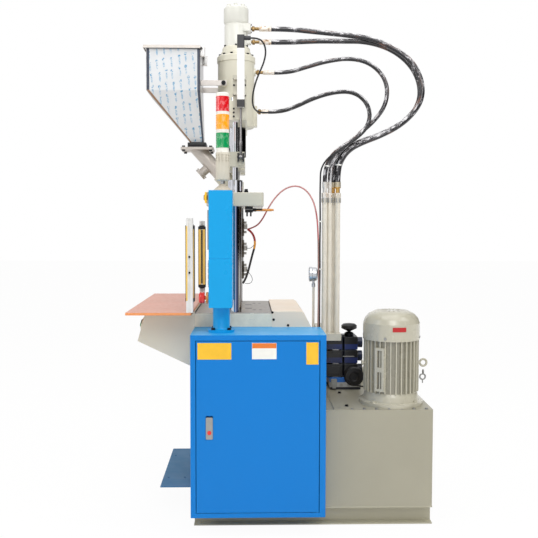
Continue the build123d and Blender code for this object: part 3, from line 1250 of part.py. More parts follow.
def nodes():
    """Every node's name with its solid."""
    return {
        "base_frame": base_frame(),
        "press_frame": press_frame(),
        "cover_sheets": cover_sheets(),
        "lower_platen": lower_platen(),
        "clamp_cylinder": clamp_cylinder(),
        "table_top": table_top(),
        "control_housing": control_housing(),
        "light_curtains": light_curtains(),
        "foot_plate": foot_plate(),
        "cabinet_body": cabinet_body(),
        "control_gear": control_gear(),
        "console_column": console_column(),
        "oil_tank": group([oil_tank(), tank_lid(), filler_cap()]),
        "motor_body": motor_body(),
        "fan_cowl": fan_cowl(),
        "valve_manifold": valve_manifold(),
        "valve_bodies": valve_bodies(),
        "steel_pipes": group([pipes(), pipe_ends()]),
        "gauge_case": gauge_case(),
        "cabinet_door": cabinet_door(),
        "latch_handle": latch_handle(),
        "latch_button": latch_button(),
        "switch_knob": switch_knob(),
        "console_box": console_box(),
        "console_panel": console_panel(),
        "tower_body": tower_body(),
        "tower_lenses": tower_lenses(),
        "stop_button": stop_button(),
        "selector_knob": selector_knob(),
        "start_button_near": start_button(-START_Y),
        "start_button_far": start_button(START_Y),
        "relief_knob": relief_knob(),
        "motor_rotor": motor_rotor(),
        "gauge_needle": gauge_needle(),
        "tie_bars": group([tie_bars(), tie_bar_nuts()]),
        "clamp_crosshead": clamp_crosshead(),
        "upper_platen": upper_platen(),
        "feed_block": feed_block(),
        "barrel": barrel(),
        "nozzle": nozzle(),
        "heater_bands": heater_bands(),
        "stay_rods": stay_rods(),
        "injection_cylinder": injection_cylinder(),
        "hydraulic_motor": hydraulic_motor(),
        "transducer": transducer(),
        "hose_fittings": hose_fittings(),
        "feed_chute": feed_chute(),
        "hopper": hopper(),
        "drain_cap": drain_cap(),
        "hopper_lid": hopper_lid(),
        "hopper_gate": hopper_gate(),
        "ram_crosshead": ram_crosshead(),
        "ram_rod": ram_rod(),
        "feed_screw": feed_screw(),
        "hose_1": cord("hose_1", HOSE_1, HOSE_R),
        "hose_2": cord("hose_2", HOSE_2, HOSE_R),
        "hose_3": cord("hose_3", HOSE_3, THIN_HOSE_R),
        "hose_4": cord("hose_4", HOSE_4, THIN_HOSE_R),
        "sensor_cable": cord("sensor_cable", CABLE, CABLE_R),
        "heater_lead": cord("heater_lead", HEATER_LEAD, LEAD_R),
    }


os.makedirs("parts", exist_ok=True)
for name, shape in nodes().items():
    export_step(shape, f"parts/{name}.step")
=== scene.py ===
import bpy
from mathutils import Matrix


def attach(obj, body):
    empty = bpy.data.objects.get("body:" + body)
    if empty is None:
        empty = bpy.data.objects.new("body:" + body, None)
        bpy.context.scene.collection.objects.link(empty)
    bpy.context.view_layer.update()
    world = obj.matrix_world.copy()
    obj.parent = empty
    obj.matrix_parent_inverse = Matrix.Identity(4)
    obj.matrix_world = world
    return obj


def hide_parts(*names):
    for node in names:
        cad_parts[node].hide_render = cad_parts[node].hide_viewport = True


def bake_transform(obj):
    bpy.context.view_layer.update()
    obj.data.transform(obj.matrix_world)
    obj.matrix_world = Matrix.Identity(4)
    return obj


bl_info = {
    "name": "Vertical Injection Moulding Machine",
    "version": (1, 0, 0),
    "blender": (4, 5, 0),
    "location": "View3D > Sidebar > Machine",
    "description": "Dresses a two-column vertical injection moulding machine and its studio",
    "category": "Add Mesh",
}

import math

import bmesh
import bpy
from mathutils import Matrix, Vector

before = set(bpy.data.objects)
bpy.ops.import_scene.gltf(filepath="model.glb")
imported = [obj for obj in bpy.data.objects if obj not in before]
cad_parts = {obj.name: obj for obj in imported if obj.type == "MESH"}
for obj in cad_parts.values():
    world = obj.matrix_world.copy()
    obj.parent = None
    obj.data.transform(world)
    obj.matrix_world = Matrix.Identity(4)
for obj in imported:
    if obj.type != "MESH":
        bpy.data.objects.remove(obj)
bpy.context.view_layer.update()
MM = 0.001
UP, DOWN = (0, 0, 1), (0, 0, -1)
RIGHT, LEFT = (1, 0, 0), (-1, 0, 0)
FRONT = (0, -1, 0)


def srgb(red, green, blue):
    """A screen colour, 0 to 255, as the linear colour that the shaders use."""
    def linear(channel):
        c = channel / 255
        return c / 12.92 if c <= 0.04045 else ((c + 0.055) / 1.055) ** 2.4
    return linear(red), linear(green), linear(blue)


# Settings that a user would change

class MachineColours(bpy.types.PropertyGroup):
    cabinet: bpy.props.FloatVectorProperty(
        name="Cabinet", description="Powder coat of the control cabinet and the frame's skirts",
        subtype="COLOR", size=3, min=0, max=1, default=srgb(0, 121, 204))
    console: bpy.props.FloatVectorProperty(
        name="Console", description="Powder coat of the swivelling console and its column",
        subtype="COLOR", size=3, min=0, max=1, default=srgb(0, 157, 222))
    enamel: bpy.props.FloatVectorProperty(
        name="Machine enamel", description="Grey-beige enamel of the press, tank and motor",
        subtype="COLOR", size=3, min=0, max=1, default=srgb(203, 200, 184))
    laminate: bpy.props.FloatVectorProperty(
        name="Table laminate", description="Top surface of the work table",
        subtype="COLOR", size=3, min=0, max=1, default=srgb(212, 146, 122))
    table_edge: bpy.props.FloatVectorProperty(
        name="Table edge", description="Edge band of the work table",
        subtype="COLOR", size=3, min=0, max=1, default=srgb(232, 150, 92))
    guard: bpy.props.FloatVectorProperty(
        name="Light curtain", description="Housings of the light curtain",
        subtype="COLOR", size=3, min=0, max=1, default=srgb(246, 206, 104))
    film: bpy.props.FloatVectorProperty(
        name="Protective film", description="Film on the hopper's stainless sheet",
        subtype="COLOR", size=3, min=0, max=1, default=srgb(216, 219, 222))


class MachineSizes(bpy.types.PropertyGroup):
    bevel: bpy.props.FloatProperty(
        name="Edge break", description="Width of the broken edges of cast and cut pieces",
        subtype="DISTANCE", unit="LENGTH", min=0.0, max=0.01, default=1.2 * MM)
    sheet_bevel: bpy.props.FloatProperty(
        name="Fold radius", description="Radius of the folds of sheet pieces",
        subtype="DISTANCE", unit="LENGTH", min=0.0, max=0.01, default=0.8 * MM)
    lens_ribs: bpy.props.IntProperty(
        name="Lens ribs", description="Ridges on each lens of the tower light",
        min=2, max=30, default=9)


# Node helpers

def feed(tree, made, inputs):
    """Links sockets to a node's inputs, and sets plain values there."""
    for key, value in inputs.items():
        if isinstance(value, bpy.types.NodeSocket):
            tree.links.new(value, made.inputs[key])
        else:
            made.inputs[key].default_value = value
    return made


def node(tree, kind, inputs=None, **settings):
    """A new node with its settings made before its inputs are fed."""
    made = tree.nodes.new(kind)
    for key, value in settings.items():
        setattr(made, key, value)
    return feed(tree, made, inputs or {})


def calculate(tree, operation, *values):
    """A Math node on numbers or sockets."""
    return node(tree, "ShaderNodeMath", dict(enumerate(values)),
                operation=operation).outputs["Value"]


def vectors(tree, operation, *values):
    """A Vector Math node on vectors or sockets."""
    made = node(tree, "ShaderNodeVectorMath", dict(enumerate(values)), operation=operation)
    return made.outputs["Value" if operation == "LENGTH" else "Vector"]


def split(tree, vector):
    """The parts X, Y and Z of a vector."""
    return node(tree, "ShaderNodeSeparateXYZ", {"Vector": vector}).outputs


def place(tree):
    """The place on the object."""
    return node(tree, "ShaderNodeTexCoord").outputs["Object"]


def mapped(tree, vector, stretch=(1, 1, 1), turn=(0, 0, 0), shift=(0, 0, 0)):
    """A vector through a Mapping node."""
    return node(tree, "ShaderNodeMapping", {"Vector": vector, "Location": shift, "Scale": stretch,
                                            "Rotation": turn}).outputs["Vector"]


def noise(tree, scale, stretch=(1, 1, 1), detail=4, rough=0.55, vector=None):
    """Noise on the place on the object, or on a given vector."""
    return node(tree, "ShaderNodeTexNoise",
                {"Vector": vector or mapped(tree, place(tree), stretch), "Scale": scale,
                 "Detail": detail, "Roughness": rough}).outputs["Fac"]


def ramp(tree, factor, stops, constant=False):
    """A colour ramp from a list of position and colour."""
    made = node(tree, "ShaderNodeValToRGB", {"Fac": factor})
    made.color_ramp.interpolation = "CONSTANT" if constant else "LINEAR"
    elements = made.color_ramp.elements
    while len(elements) < len(stops):
        elements.new(0.5)
    for element, (position, colour) in zip(elements, stops):
        element.position = position
        element.color = (*colour, 1.0)
    return made.outputs["Color"]


def span(tree, factor, low, high, start=0.0, end=1.0):
    """A value between start and end as one between low and high."""
    return node(tree, "ShaderNodeMapRange",
                {"Value": factor, "From Min": start, "From Max": end, "To Min": low,
                 "To Max": high}).outputs["Result"]


def uneven(tree, scale, low, high):
    """Clouds between a low and a high roughness."""
    return span(tree, noise(tree, scale), low, high, 0.3, 0.7)


def relief(tree, shader, height, strength, depth):
    """A bump on the shader's normal, with its depth in millimetres."""
    bump = node(tree, "ShaderNodeBump", {"Height": height, "Strength": strength,
                                         "Distance": depth * MM})
    tree.links.new(bump.outputs["Normal"], shader.inputs["Normal"])


def shade(colour, factor):
    """A colour made darker or lighter."""
    return tuple(min(1.0, max(0.0, c * factor)) for c in colour)


def mottled(tree, factor, colour, dark, light, start=0.3, end=0.7):
    """A colour that runs from a dark to a light shade of itself."""
    return ramp(tree, factor, [(start, shade(colour, dark)), (end, shade(colour, light))])


def swapped(tree, kind, factor, first, second):
    """A mix of a socket and a set value, of colour or number."""
    return node(tree, "ShaderNodeMix",
                {"Factor": factor, "A": first, "B": (*second, 1.0) if kind == "RGBA" else second},
                data_type=kind).outputs["Result"]


def facing_up(tree, start, end):
    """Nought on upright faces and one on upper faces."""
    normal = node(tree, "ShaderNodeNewGeometry").outputs["Normal"]
    return span(tree, split(tree, normal)["Z"], 0, 1, start, end)


def inside(tree, parts, limits):
    """One where a point lies within all the limits of axis, lowest and highest, else nought."""
    total = None
    for axis, lowest, highest in limits:
        within = calculate(tree, "COMPARE", parts[axis], (lowest + highest) / 2,
                           (highest - lowest) / 2)
        total = within if total is None else calculate(tree, "MULTIPLY", total, within)
    return total


def new_finish(name):
    """An empty node material with its shader: material, tree, shader."""
    material = bpy.data.materials.new(name)
    material.use_nodes = True
    tree = material.node_tree
    tree.nodes.clear()
    shader = node(tree, "ShaderNodeBsdfPrincipled")
    node(tree, "ShaderNodeOutputMaterial", {"Surface": shader.outputs["BSDF"]})
    return material, tree, shader


# Finishes

FINISHES = {}


def enamel(name, colour, rough=0.36, cloud=0.05, peel=0.05, coat=0.12, gloss=0.5, top=None):
    """Sprayed enamel: faint clouds, uneven gloss and orange peel; upper faces may be painted
    paler, as painted light from above.
    """
    material, tree, shader = new_finish(name)
    base = mottled(tree, noise(tree, 2.6, detail=6), colour, 1 - cloud, 1 + cloud * 0.6)
    # Painted light: a given top colour makes upper faces paler, as if lit from above.
    if top:
        base = swapped(tree, "RGBA", facing_up(tree, 0.6, 0.95), base, top)
    feed(tree, shader, {"Base Color": base, "Coat Weight": coat, "Coat Roughness": 0.2,
                        "Roughness": uneven(tree, 9.0, rough - 0.06, rough + 0.08),
                        "Specular IOR Level": gloss})
    relief(tree, shader, noise(tree, 420.0, detail=2), peel, 0.4)
    return material


def metal(name, colour, rough=0.28, stretch=(1, 1, 1), scale=160.0, streak=0.1, dent=0.015,
          spread=0.05):
    """Bare metal with tool marks that run across the stretched axis."""
    material, tree, shader = new_finish(name)
    marks = noise(tree, scale, stretch, detail=3)
    feed(tree, shader,
         {"Base Color": mottled(tree, marks, colour, 1 - streak, 1 + streak * 0.5, 0.25, 0.75),
          "Roughness": span(tree, marks, rough - spread * 0.7, rough + spread, 0.3, 0.7),
          "Metallic": 1.0})
    relief(tree, shader, marks, dent, 0.3)
    return material


def moulded(name, colour, rough=0.45, grain=0.08, coat=0.0):
    """Moulded plastic or rubber with a fine grain."""
    material, tree, shader = new_finish(name)
    feed(tree, shader, {"Base Color": mottled(tree, noise(tree, 14.0), colour, 0.92, 1.05),
                        "Roughness": uneven(tree, 30.0, rough - 0.05, rough + 0.07),
                        "Coat Weight": coat, "Coat Roughness": 0.08})
    relief(tree, shader, noise(tree, 700.0, detail=2), grain, 0.3)
    return material


def hose_rubber(name, paler_from=9.0):
    """Black hose cover with white patches, partly scuffs and partly painted highlight, whitest
    along its upper side, with a few brown patches.

    It reads the cord's own lay: length along it, and place round it."""
    material, tree, shader = new_finish(name)
    lay = node(tree, "ShaderNodeAttribute", attribute_name="lay").outputs["Vector"]
    parts = split(tree, lay)

    def lay_noise(along, around, shift, detail, rough=0.6):
        vector = mapped(tree, lay, (along, around, around), shift=(shift, shift, shift))
        return noise(tree, 1.0, detail=detail, rough=rough, vector=vector)

    # Painted highlight and scuffs: white patches from noise that grow towards the upper side of
    # the cord as a painted reflection of the bright room above, and are whiter beyond a given
    # length along it.
    sheen_and_scuff = calculate(tree, "ADD", lay_noise(22.0, 1.1, 3.0, 6, 0.7),
                     span(tree, parts["Z"], -0.06, 0.13, -0.4, 0.9))
    sheen_and_scuff = calculate(tree, "ADD", sheen_and_scuff,
                     span(tree, parts["X"], 0, 0.1, paler_from, paler_from + 0.06))
    sheen_and_scuff_colour = ramp(tree, sheen_and_scuff, [(0.0, srgb(16, 15, 18)), (0.53, srgb(34, 32, 36)),
                               (0.57, srgb(104, 102, 106)), (0.63, srgb(206, 205, 208)),
                               (0.75, srgb(232, 231, 232))])
    stain = span(tree, lay_noise(9.0, 0.7, 11.0, 2), 0, 0.75, 0.58, 0.68)
    feed(tree, shader, {"Base Color": swapped(tree, "RGBA", stain, sheen_and_scuff_colour, srgb(112, 74, 58)),
                        "Roughness": span(tree, sheen_and_scuff, 0.18, 0.45, 0.4, 0.7),
                        "Coat Weight": 0.3, "Coat Roughness": 0.15})
    relief(tree, shader, lay_noise(160.0, 9.0, 0.0, 2), 0.2, 0.4)
    return material


def film_finish(name, colour):
    """Protective film: milky, softly creased, with columns of faded generic print."""
    material, tree, shader = new_finish(name)
    grid = mapped(tree, place(tree), (29.0, 0, 17.0), (0, math.radians(9), 0))
    spot = vectors(tree, "ADD", grid, (0.3, 3.1, 0.4))
    dots = node(tree, "ShaderNodeTexVoronoi", {"Vector": spot, "Scale": 1.0, "Randomness": 0.3})
    apart = vectors(tree, "SUBTRACT", spot, dots.outputs["Position"])
    base = mottled(tree, noise(tree, 7.0), colour, 0.93, 1.04)
    for width, height, rise, grain, print_colour in (
            (0.14, 0.3, 0.02, 210.0, srgb(140, 176, 204)),
            (0.2, 0.14, -0.38, 150.0, srgb(70, 146, 190))):
        reach = vectors(tree, "LENGTH", vectors(tree, "MULTIPLY_ADD", apart,
                                                (1 / width, 0, 1 / height),
                                                (0, 0, rise / height)))
        mark = calculate(tree, "MULTIPLY", span(tree, reach, 1, 0, 0.75, 1.1),
                         span(tree, noise(tree, grain, detail=2), 0, 1, 0.42, 0.54))
        base = swapped(tree, "RGBA", mark, base, print_colour)
    feed(tree, shader, {"Base Color": base, "Roughness": 0.3})
    relief(tree, shader, noise(tree, 26.0, (1, 1, 0.35), detail=3), 0.3, 2.0)
    return material


def faced(name, top, side, rough=0.35):
    """Laminate board whose top and edge differ, by the way the surface faces."""
    material, tree, shader = new_finish(name)
    mix = node(tree, "ShaderNodeMix",
               {"Factor": facing_up(tree, 0.4, 0.6),
                "A": mottled(tree, noise(tree, 40.0), side, 0.95, 1.05),
                "B": mottled(tree, noise(tree, 5.0), top, 0.95, 1.03)}, data_type="RGBA")
    feed(tree, shader, {"Base Color": mix.outputs["Result"],
                        "Roughness": uneven(tree, 60.0, rough - 0.05, rough + 0.1)})
    relief(tree, shader, noise(tree, 500.0), 0.05, 0.2)
    return material


def lens_plastic(name, colour):
    """Coloured lens plastic: glossy, ribbed, with paler painted highlights and a little light from
    within.
    """
    material, tree, shader = new_finish(name)
    bands = node(tree, "ShaderNodeTexWave",
                 {"Vector": mapped(tree, place(tree)), "Scale": 90.0, "Distortion": 0.0},
                 bands_direction="Z")
    ribs = mottled(tree, bands.outputs["Fac"], colour, 0.7, 1.1, 0.2, 0.8)
    # Painted highlights: pale patches stand in for glints on the lens.
    painted_glints = span(tree, noise(tree, 95.0, (1, 1, 0.5), detail=2), 0, 0.6, 0.5, 0.6)
    pale = tuple(0.75 * c + 0.25 for c in colour)
    feed(tree, shader, {"Base Color": swapped(tree, "RGBA", painted_glints, ribs, pale),
                        "Roughness": 0.12, "Specular IOR Level": 0.6, "Coat Weight": 0.5,
                        "Coat Roughness": 0.05, "Emission Color": (*colour, 1.0),
                        "Emission Strength": 0.2})
    return material


def zoned(name, axis, low, high, zones, regions=()):
    """One piece in several finishes along an axis: zones of start, colour, metallic, rough.

    Each region has its own limits, colour and metallic."""
    material, tree, shader = new_finish(name)
    parts = split(tree, place(tree))
    along = span(tree, parts[axis], 0, 1, low, high)
    stops = [((start - low) / (high - low), colour) for start, colour, _, _ in zones]
    grey = [((start - low) / (high - low), (m, r, 0.0)) for start, _, m, r in zones]
    finish = node(tree, "ShaderNodeSeparateColor", {"Color": ramp(tree, along, grey, True)})
    base, shine = ramp(tree, along, stops, True), finish.outputs["Red"]
    for limits, colour, metallic in regions:
        where = inside(tree, parts, limits)
        base = swapped(tree, "RGBA", where, base, colour)
        shine = swapped(tree, "FLOAT", where, shine, metallic)
    clouds = ramp(tree, noise(tree, 22.0), [(0.3, (0.9, 0.9, 0.9)), (0.7, (1, 1, 1))])
    mix = node(tree, "ShaderNodeMix", {"Factor": 1.0, "A": base, "B": clouds},
               data_type="RGBA", blend_type="MULTIPLY")
    feed(tree, shader, {"Base Color": mix.outputs["Result"], "Metallic": shine,
                        "Roughness": finish.outputs["Green"]})
    relief(tree, shader, noise(tree, 400.0, detail=2), 0.05, 0.3)
    return material


def plated_sleeve(name):
    """Plated hose ends: pale plating with patches of bare brass and dark grease."""
    material, tree, shader = new_finish(name)
    patches = ramp(tree, noise(tree, 70.0, detail=5, rough=0.65),
                   [(0.33, srgb(120, 92, 70)), (0.4, srgb(196, 168, 138)),
                    (0.47, srgb(226, 214, 200)), (0.62, srgb(238, 232, 224))])
    feed(tree, shader, {"Base Color": patches, "Metallic": 0.25,
                        "Roughness": uneven(tree, 120.0, 0.26, 0.45)})
    relief(tree, shader, noise(tree, 300.0), 0.06, 0.3)
    return material


def ribbed_casting_with_painted_shade(name, colour, centre, radius, low, high, depth):
    """Enamel with painted shade: darker in the grooves between the ribs round an upright axis,
    where shade falls.
    """
    material = enamel(name, colour, 0.26, 0.04, 0.06, 0.4)
    tree = material.node_tree
    shader = next(made for made in tree.nodes if made.type == "BSDF_PRINCIPLED")
    base = shader.inputs["Base Color"].links[0].from_socket
    flat = vectors(tree, "MULTIPLY", vectors(tree, "SUBTRACT", place(tree), (*centre, 0)),
                   (1, 1, 0))
    # Painted shade: between the given heights and inside the ribs' outer radius, the colour is the
    # enamel times depth.
    groove_shade = calculate(tree, "MULTIPLY",
                       span(tree, vectors(tree, "LENGTH", flat), 1, 0, radius - 0.003, radius),
                       inside(tree, split(tree, place(tree)), (("Z", low, high),)))
    feed(tree, shader, {"Base Color": swapped(tree, "RGBA", groove_shade, base, shade(colour, depth))})
    return material


# Colours of more than one finish

NEAR_BLACK = srgb(24, 24, 26)
DARK_PLASTIC = srgb(52, 52, 54)
STEEL_LINE = srgb(70, 74, 80)
VALVE_BLACK = srgb(18, 19, 22)
VALVE_NAVY = srgb(22, 34, 62)
MOTOR_GREY = srgb(188, 184, 166)


def make_finishes(colours):
    """All finishes of the machine, by their plain names."""
    body, blue, guard = tuple(colours.enamel), tuple(colours.cabinet), tuple(colours.guard)
    bare_body = shade(body, 0.98)
    tables = [
        (enamel, [
            ("machine enamel", body),
            ("tank enamel", srgb(164, 160, 142), 0.42, 0.05),
            ("motor enamel", MOTOR_GREY, 0.24, 0.04, 0.06, 0.5),
            # Housing enamel is the machine enamel made paler: painted light on faces that lie in
            # shade under the table.
            ("housing enamel", shade(body, 1.13)),
            # Cover enamel: paler and warmer than the machine enamel, partly its own tone and
            # partly painted light on faces that lie in shade.
            ("cover enamel", srgb(236, 218, 196), 0.4, 0.04),
            ("foot coat", srgb(52, 110, 154), 0.5, 0.12, 0.05, 0.0, 0.25),
            # Cylinder enamel is the machine enamel made paler: painted light, as on the cylinder's
            # lit side.
            ("cylinder enamel", shade(body, 1.15)),
            ("channel enamel", srgb(176, 172, 152), 0.4, 0.06),
            ("platen enamel", shade(body, 0.93)),
            ("pale enamel", srgb(222, 222, 214), 0.34),
            # Cabinet coat: its last colour is painted light, paler upper faces as if lit from
            # above.
            ("cabinet coat", blue, 0.34, 0.015, 0.03, 0.0, 0.25, srgb(60, 168, 226)),
            ("console coat", tuple(colours.console), 0.3, 0.03, 0.04, 0.0, 0.3),
            ("guard yellow", guard, 0.36, 0.04)]),
        (ribbed_casting_with_painted_shade, [
            # The motor frame's ribs have painted shade in their grooves.
            ("motor frame", MOTOR_GREY, (0.741, -0.310), 0.1235, 0.591, 0.837, 0.6)]),
        (faced, [
            # Platen face: the grey top is the platen's own; the pale beige sides are partly its
            # own tone and partly painted light on faces that lie in shade.
            ("platen face", srgb(152, 146, 140), srgb(232, 222, 200), 0.42),
            ("laminate", tuple(colours.laminate), tuple(colours.table_edge))]),
        (metal, [
            ("chrome rod", srgb(235, 236, 240), 0.06, (1, 1, 0.03), 130.0, 0.05, 0.004, 0.03),
            ("turned steel", srgb(176, 176, 174), 0.3, (0.2, 0.2, 6), 120.0),
            ("stainless sheet", srgb(200, 202, 205), 0.3, (1, 1, 0.05), 90.0, 0.05, 0.006),
            ("dull zinc", srgb(170, 170, 168), 0.42, (1, 1, 1), 60.0),
            ("blackened steel", srgb(44, 44, 46), 0.4, (1, 1, 1), 90.0),
            ("lid steel", srgb(226, 222, 218), 0.34, (1, 1, 1), 60.0, 0.05),
            ("dark brass", srgb(150, 124, 84), 0.34, (4, 0.3, 0.3), 120.0, 0.3),
            ("cast iron", srgb(96, 96, 94), 0.55, (1, 1, 1), 60.0, 0.2, 0.3)]),
        (moulded, [
            ("lid lip", srgb(222, 215, 208), 0.35, 0.02),
            ("recess grey", srgb(112, 108, 96), 0.4, 0.03),
            ("navy edge", srgb(62, 68, 84), 0.4, 0.03),
            ("black plastic", srgb(22, 22, 24), 0.42),
            ("black gloss", srgb(12, 12, 14), 0.12, 0.01, 0.5),
            ("grey plastic", srgb(150, 152, 150), 0.5),
            ("white plastic", srgb(236, 236, 232), 0.4),
            ("red plastic", srgb(226, 34, 26), 0.25, 0.02, 0.5),
            ("pale gold", srgb(226, 150, 66), 0.3, 0.03, 0.4),
            ("plate yellow", srgb(242, 190, 40), 0.35, 0.03),
            ("plate white", srgb(238, 238, 232), 0.35, 0.03),
            ("plate red", srgb(186, 34, 36), 0.35, 0.03),
            ("plate orange", srgb(226, 120, 40), 0.35, 0.03),
            ("cable rubber", srgb(28, 28, 30), 0.45, 0.2)]),
        (hose_rubber, [("hose rubber",), ("worn hose rubber", 0.93)]),
        (plated_sleeve, [("plated sleeve",)]),
        (lens_plastic, [
            ("red lens", srgb(214, 14, 28)),
            ("amber lens", srgb(250, 164, 24)),
            ("green lens", srgb(0, 148, 82))]),
        (film_finish, [("film", tuple(colours.film))]),
        (zoned, [
            # Tie chrome: painted reflections, bands of light, navy and near black across the bars,
            # and paler from 1.46 m to 1.7 m high.
            ("tie chrome", "X", -0.05, 0.05,
             [(-0.05, srgb(206, 216, 226), 1, 0.07), (-0.001, srgb(148, 162, 190), 1, 0.08),
              (0.004, srgb(78, 86, 120), 1, 0.08), (0.011, srgb(50, 50, 60), 1, 0.08),
              (0.0165, srgb(196, 196, 194), 1, 0.1), (0.0215, srgb(126, 122, 120), 1, 0.1)],
             [((("Z", 1.46, 1.7),), srgb(232, 233, 238), 1)]),
            # Ram chrome: painted reflections, a bright band, a near-black band and a grey band
            # across the rod.
            ("ram chrome", "X", -0.06, 0.06,
             [(-0.06, srgb(226, 228, 232), 1, 0.08), (0.004, srgb(52, 50, 52), 1, 0.1),
              (0.045, srgb(170, 168, 164), 1, 0.1)]),
            ("heater band", "Z", 1.0, 1.5,
             [(1.0, srgb(104, 98, 90), 0.9, 0.36), (1.2, srgb(112, 104, 94), 0.9, 0.34)],
             [((("X", 0.0414, 1.0),), srgb(186, 182, 174), 0.4)]),
            ("hopper sheet", "Z", 1.6, 2.3,
             [(1.6, srgb(26, 26, 28), 0, 0.45), (1.7838, srgb(206, 205, 203), 0.7, 0.28)],
             [((("X", -0.172, 0.1), ("Z", 1.9, 2.2)), srgb(196, 190, 184), 0.8)]),
            ("chute steel", "Z", 1.1, 1.9, [(1.1, srgb(196, 189, 181), 0.55, 0.38)],
             [((("Z", 1.7602, 1.9),), NEAR_BLACK, 0),
              ((("Z", 1.7, 1.7478), ("Y", -0.2, -0.05)), srgb(30, 30, 32), 0),
              ((("Z", 1.7, 1.7478), ("Y", 0.05, 0.2)), srgb(30, 30, 32), 0)]),
            ("film edge", "Z", 1.6, 2.3,
             [(1.6, srgb(150, 118, 92), 0, 0.4), (2.0275, srgb(58, 64, 80), 0, 0.4)]),
            # Ram head: the near-black front is painted shade in the clevis gap; the grey strip is
            # the sensor rod's own colour.
            ("ram head", "Z", 1.0, 2.2, [(1.0, body, 0, 0.36)],
             [((("Y", -1.0, -0.2995),), srgb(26, 26, 28), 0),
              ((("Y", -1.0, -0.3101), ("X", 0.0205, 0.0335)), srgb(138, 136, 136), 1)]),
            ("anodised", "Z", 0.9, 1.5, [(0.9, srgb(236, 236, 234), 0, 0.34)],
             [((("X", -0.2165, -0.2095), ("Z", 1.03, 1.365), ("Y", -1, -0.4)), guard, 0)]),
            ("heater sleeve", "Z", 0.8, 1.6,
             [(0.8, srgb(150, 116, 108), 0, 0.5), (1.3, srgb(186, 98, 98), 0, 0.5),
              (1.44, srgb(206, 142, 140), 0, 0.5)]),
            ("heater wire", "Z", 1.0, 1.5,
             [(1.0, srgb(30, 26, 26), 0, 0.5), (1.252, srgb(226, 150, 30), 0, 0.4),
              (1.292, srgb(170, 40, 40), 0, 0.45)]),
            ("valve cover", "Z", 0.5, 0.9,
             [(0.5, VALVE_BLACK, 0, 0.3), (0.664, srgb(24, 40, 96), 0, 0.3),
              (0.695, VALVE_BLACK, 0, 0.3), (0.733, srgb(24, 44, 104), 0, 0.3),
              (0.763, VALVE_BLACK, 0, 0.3)]),
            ("start button", "X", -0.5, -0.4,
             [(-0.5, srgb(20, 128, 60), 0, 0.25), (-0.4475, NEAR_BLACK, 0, 0.4)]),
            ("pipe run", "Z", 0.7, 1.7,
             [(0.7, srgb(224, 218, 204), 0.0, 0.3), (1.4779, srgb(206, 200, 184), 0.2, 0.4),
              (1.528, srgb(214, 170, 96), 0.7, 0.3), (1.552, srgb(206, 194, 168), 0.6, 0.3)],
             [((("X", 0.3, 0.4655), ("Z", 1.5, 1.7)), srgb(222, 218, 212), 0.4)]),
            ("sounder stack", "Z", 1.5, 2.0,
             [(1.5, srgb(196, 186, 168), 0, 0.5), (1.552, srgb(190, 192, 192), 1, 0.25),
              (1.565, srgb(206, 200, 184), 0, 0.5), (1.69, srgb(236, 234, 226), 0, 0.4)]),
            ("manifold", "Z", 0.5, 0.9,
             [(0.5, srgb(30, 34, 46), 0, 0.35), (0.541, srgb(186, 188, 190), 1, 0.35),
              (0.566, srgb(26, 110, 200), 0, 0.3), (0.5925, shade(body, 0.95), 0, 0.36)]),
            ("valve stack", "Z", 0.5, 0.9,
             [(0.5, srgb(24, 28, 40), 0, 0.32), (0.658, STEEL_LINE, 1, 0.4),
              (0.662, VALVE_NAVY, 0, 0.3), (0.728, STEEL_LINE, 1, 0.4),
              (0.732, VALVE_NAVY, 0, 0.32), (0.798, srgb(40, 42, 46), 1, 0.4)]),
            ("sensor bar", "Z", 1.8, 2.3,
             [(1.8, srgb(190, 190, 188), 0.7, 0.35), (1.9135, DARK_PLASTIC, 0, 0.45),
              (1.9499, srgb(240, 240, 238), 0.1, 0.35), (2.1841, DARK_PLASTIC, 0, 0.45)],
             [((("Y", -0.3045, 0.0),), bare_body, 0),
              ((("X", -1.0, 0.0088),), bare_body, 0),
              ((("X", 0.0452, 1.0), ("Z", 1.9, 2.1)), bare_body, 0)])])]
    for make, rows in tables:
        for name, *values in rows:
            FINISHES[name] = make(name, *values)


# Points nearer than this are one, in metres, on new pieces and on CAD nodes

ONE_POINT = 0.01 * MM
ONE_CAD_POINT = 0.02 * MM

# Degrees between faces: flat up to the first, and sharp above the others, by kind of piece

FLAT_ANGLE = 0.6
SHARP_ANGLE = 38.0
SHARP_ON_CORDS = 60.0
SHARP_ON_RIBBONS = 5.0

# Heights in millimetres of edges that stay sharp, whatever their angle

CREASES = {"fan_cowl": (914.0, 836.0)}
CREASE_REACH = 0.2

# Above this height in millimetres a piece is drawn in by this factor, to clear its neighbour

EASED = {"feed_screw": (1640.0, 0.985)}


# Mesh helpers, all in millimetres until the piece is finished

def settle(name, mesh, finish, body, bevel=0.0, sharp=SHARP_ANGLE, replaces=()):
    """Shades a mesh in metres, gives it its finish, and puts it on its body."""
    work = bmesh.new()
    work.from_mesh(mesh)
    bmesh.ops.remove_doubles(work, verts=work.verts, dist=ONE_POINT)
    limit = math.radians(sharp)
    for face in work.faces:
        face.smooth = True
    for edge in work.edges:
        if len(edge.link_faces) == 2 and edge.calc_face_angle(0) > limit:
            edge.smooth = False
    work.to_mesh(mesh)
    work.free()
    mesh.materials.clear()
    mesh.materials.append(FINISHES[finish])
    piece = bpy.data.objects.new(name, mesh)
    bpy.context.scene.collection.objects.link(piece)
    if bevel:
        broken = piece.modifiers.new("Broken edges", "BEVEL")
        broken.width = bevel
        broken.segments = 2
        broken.limit_method = "ANGLE"
        broken.angle_limit = limit
        broken.harden_normals = True
    if body:
        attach(piece, body)
    if replaces:
        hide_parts(*replaces)
    return piece


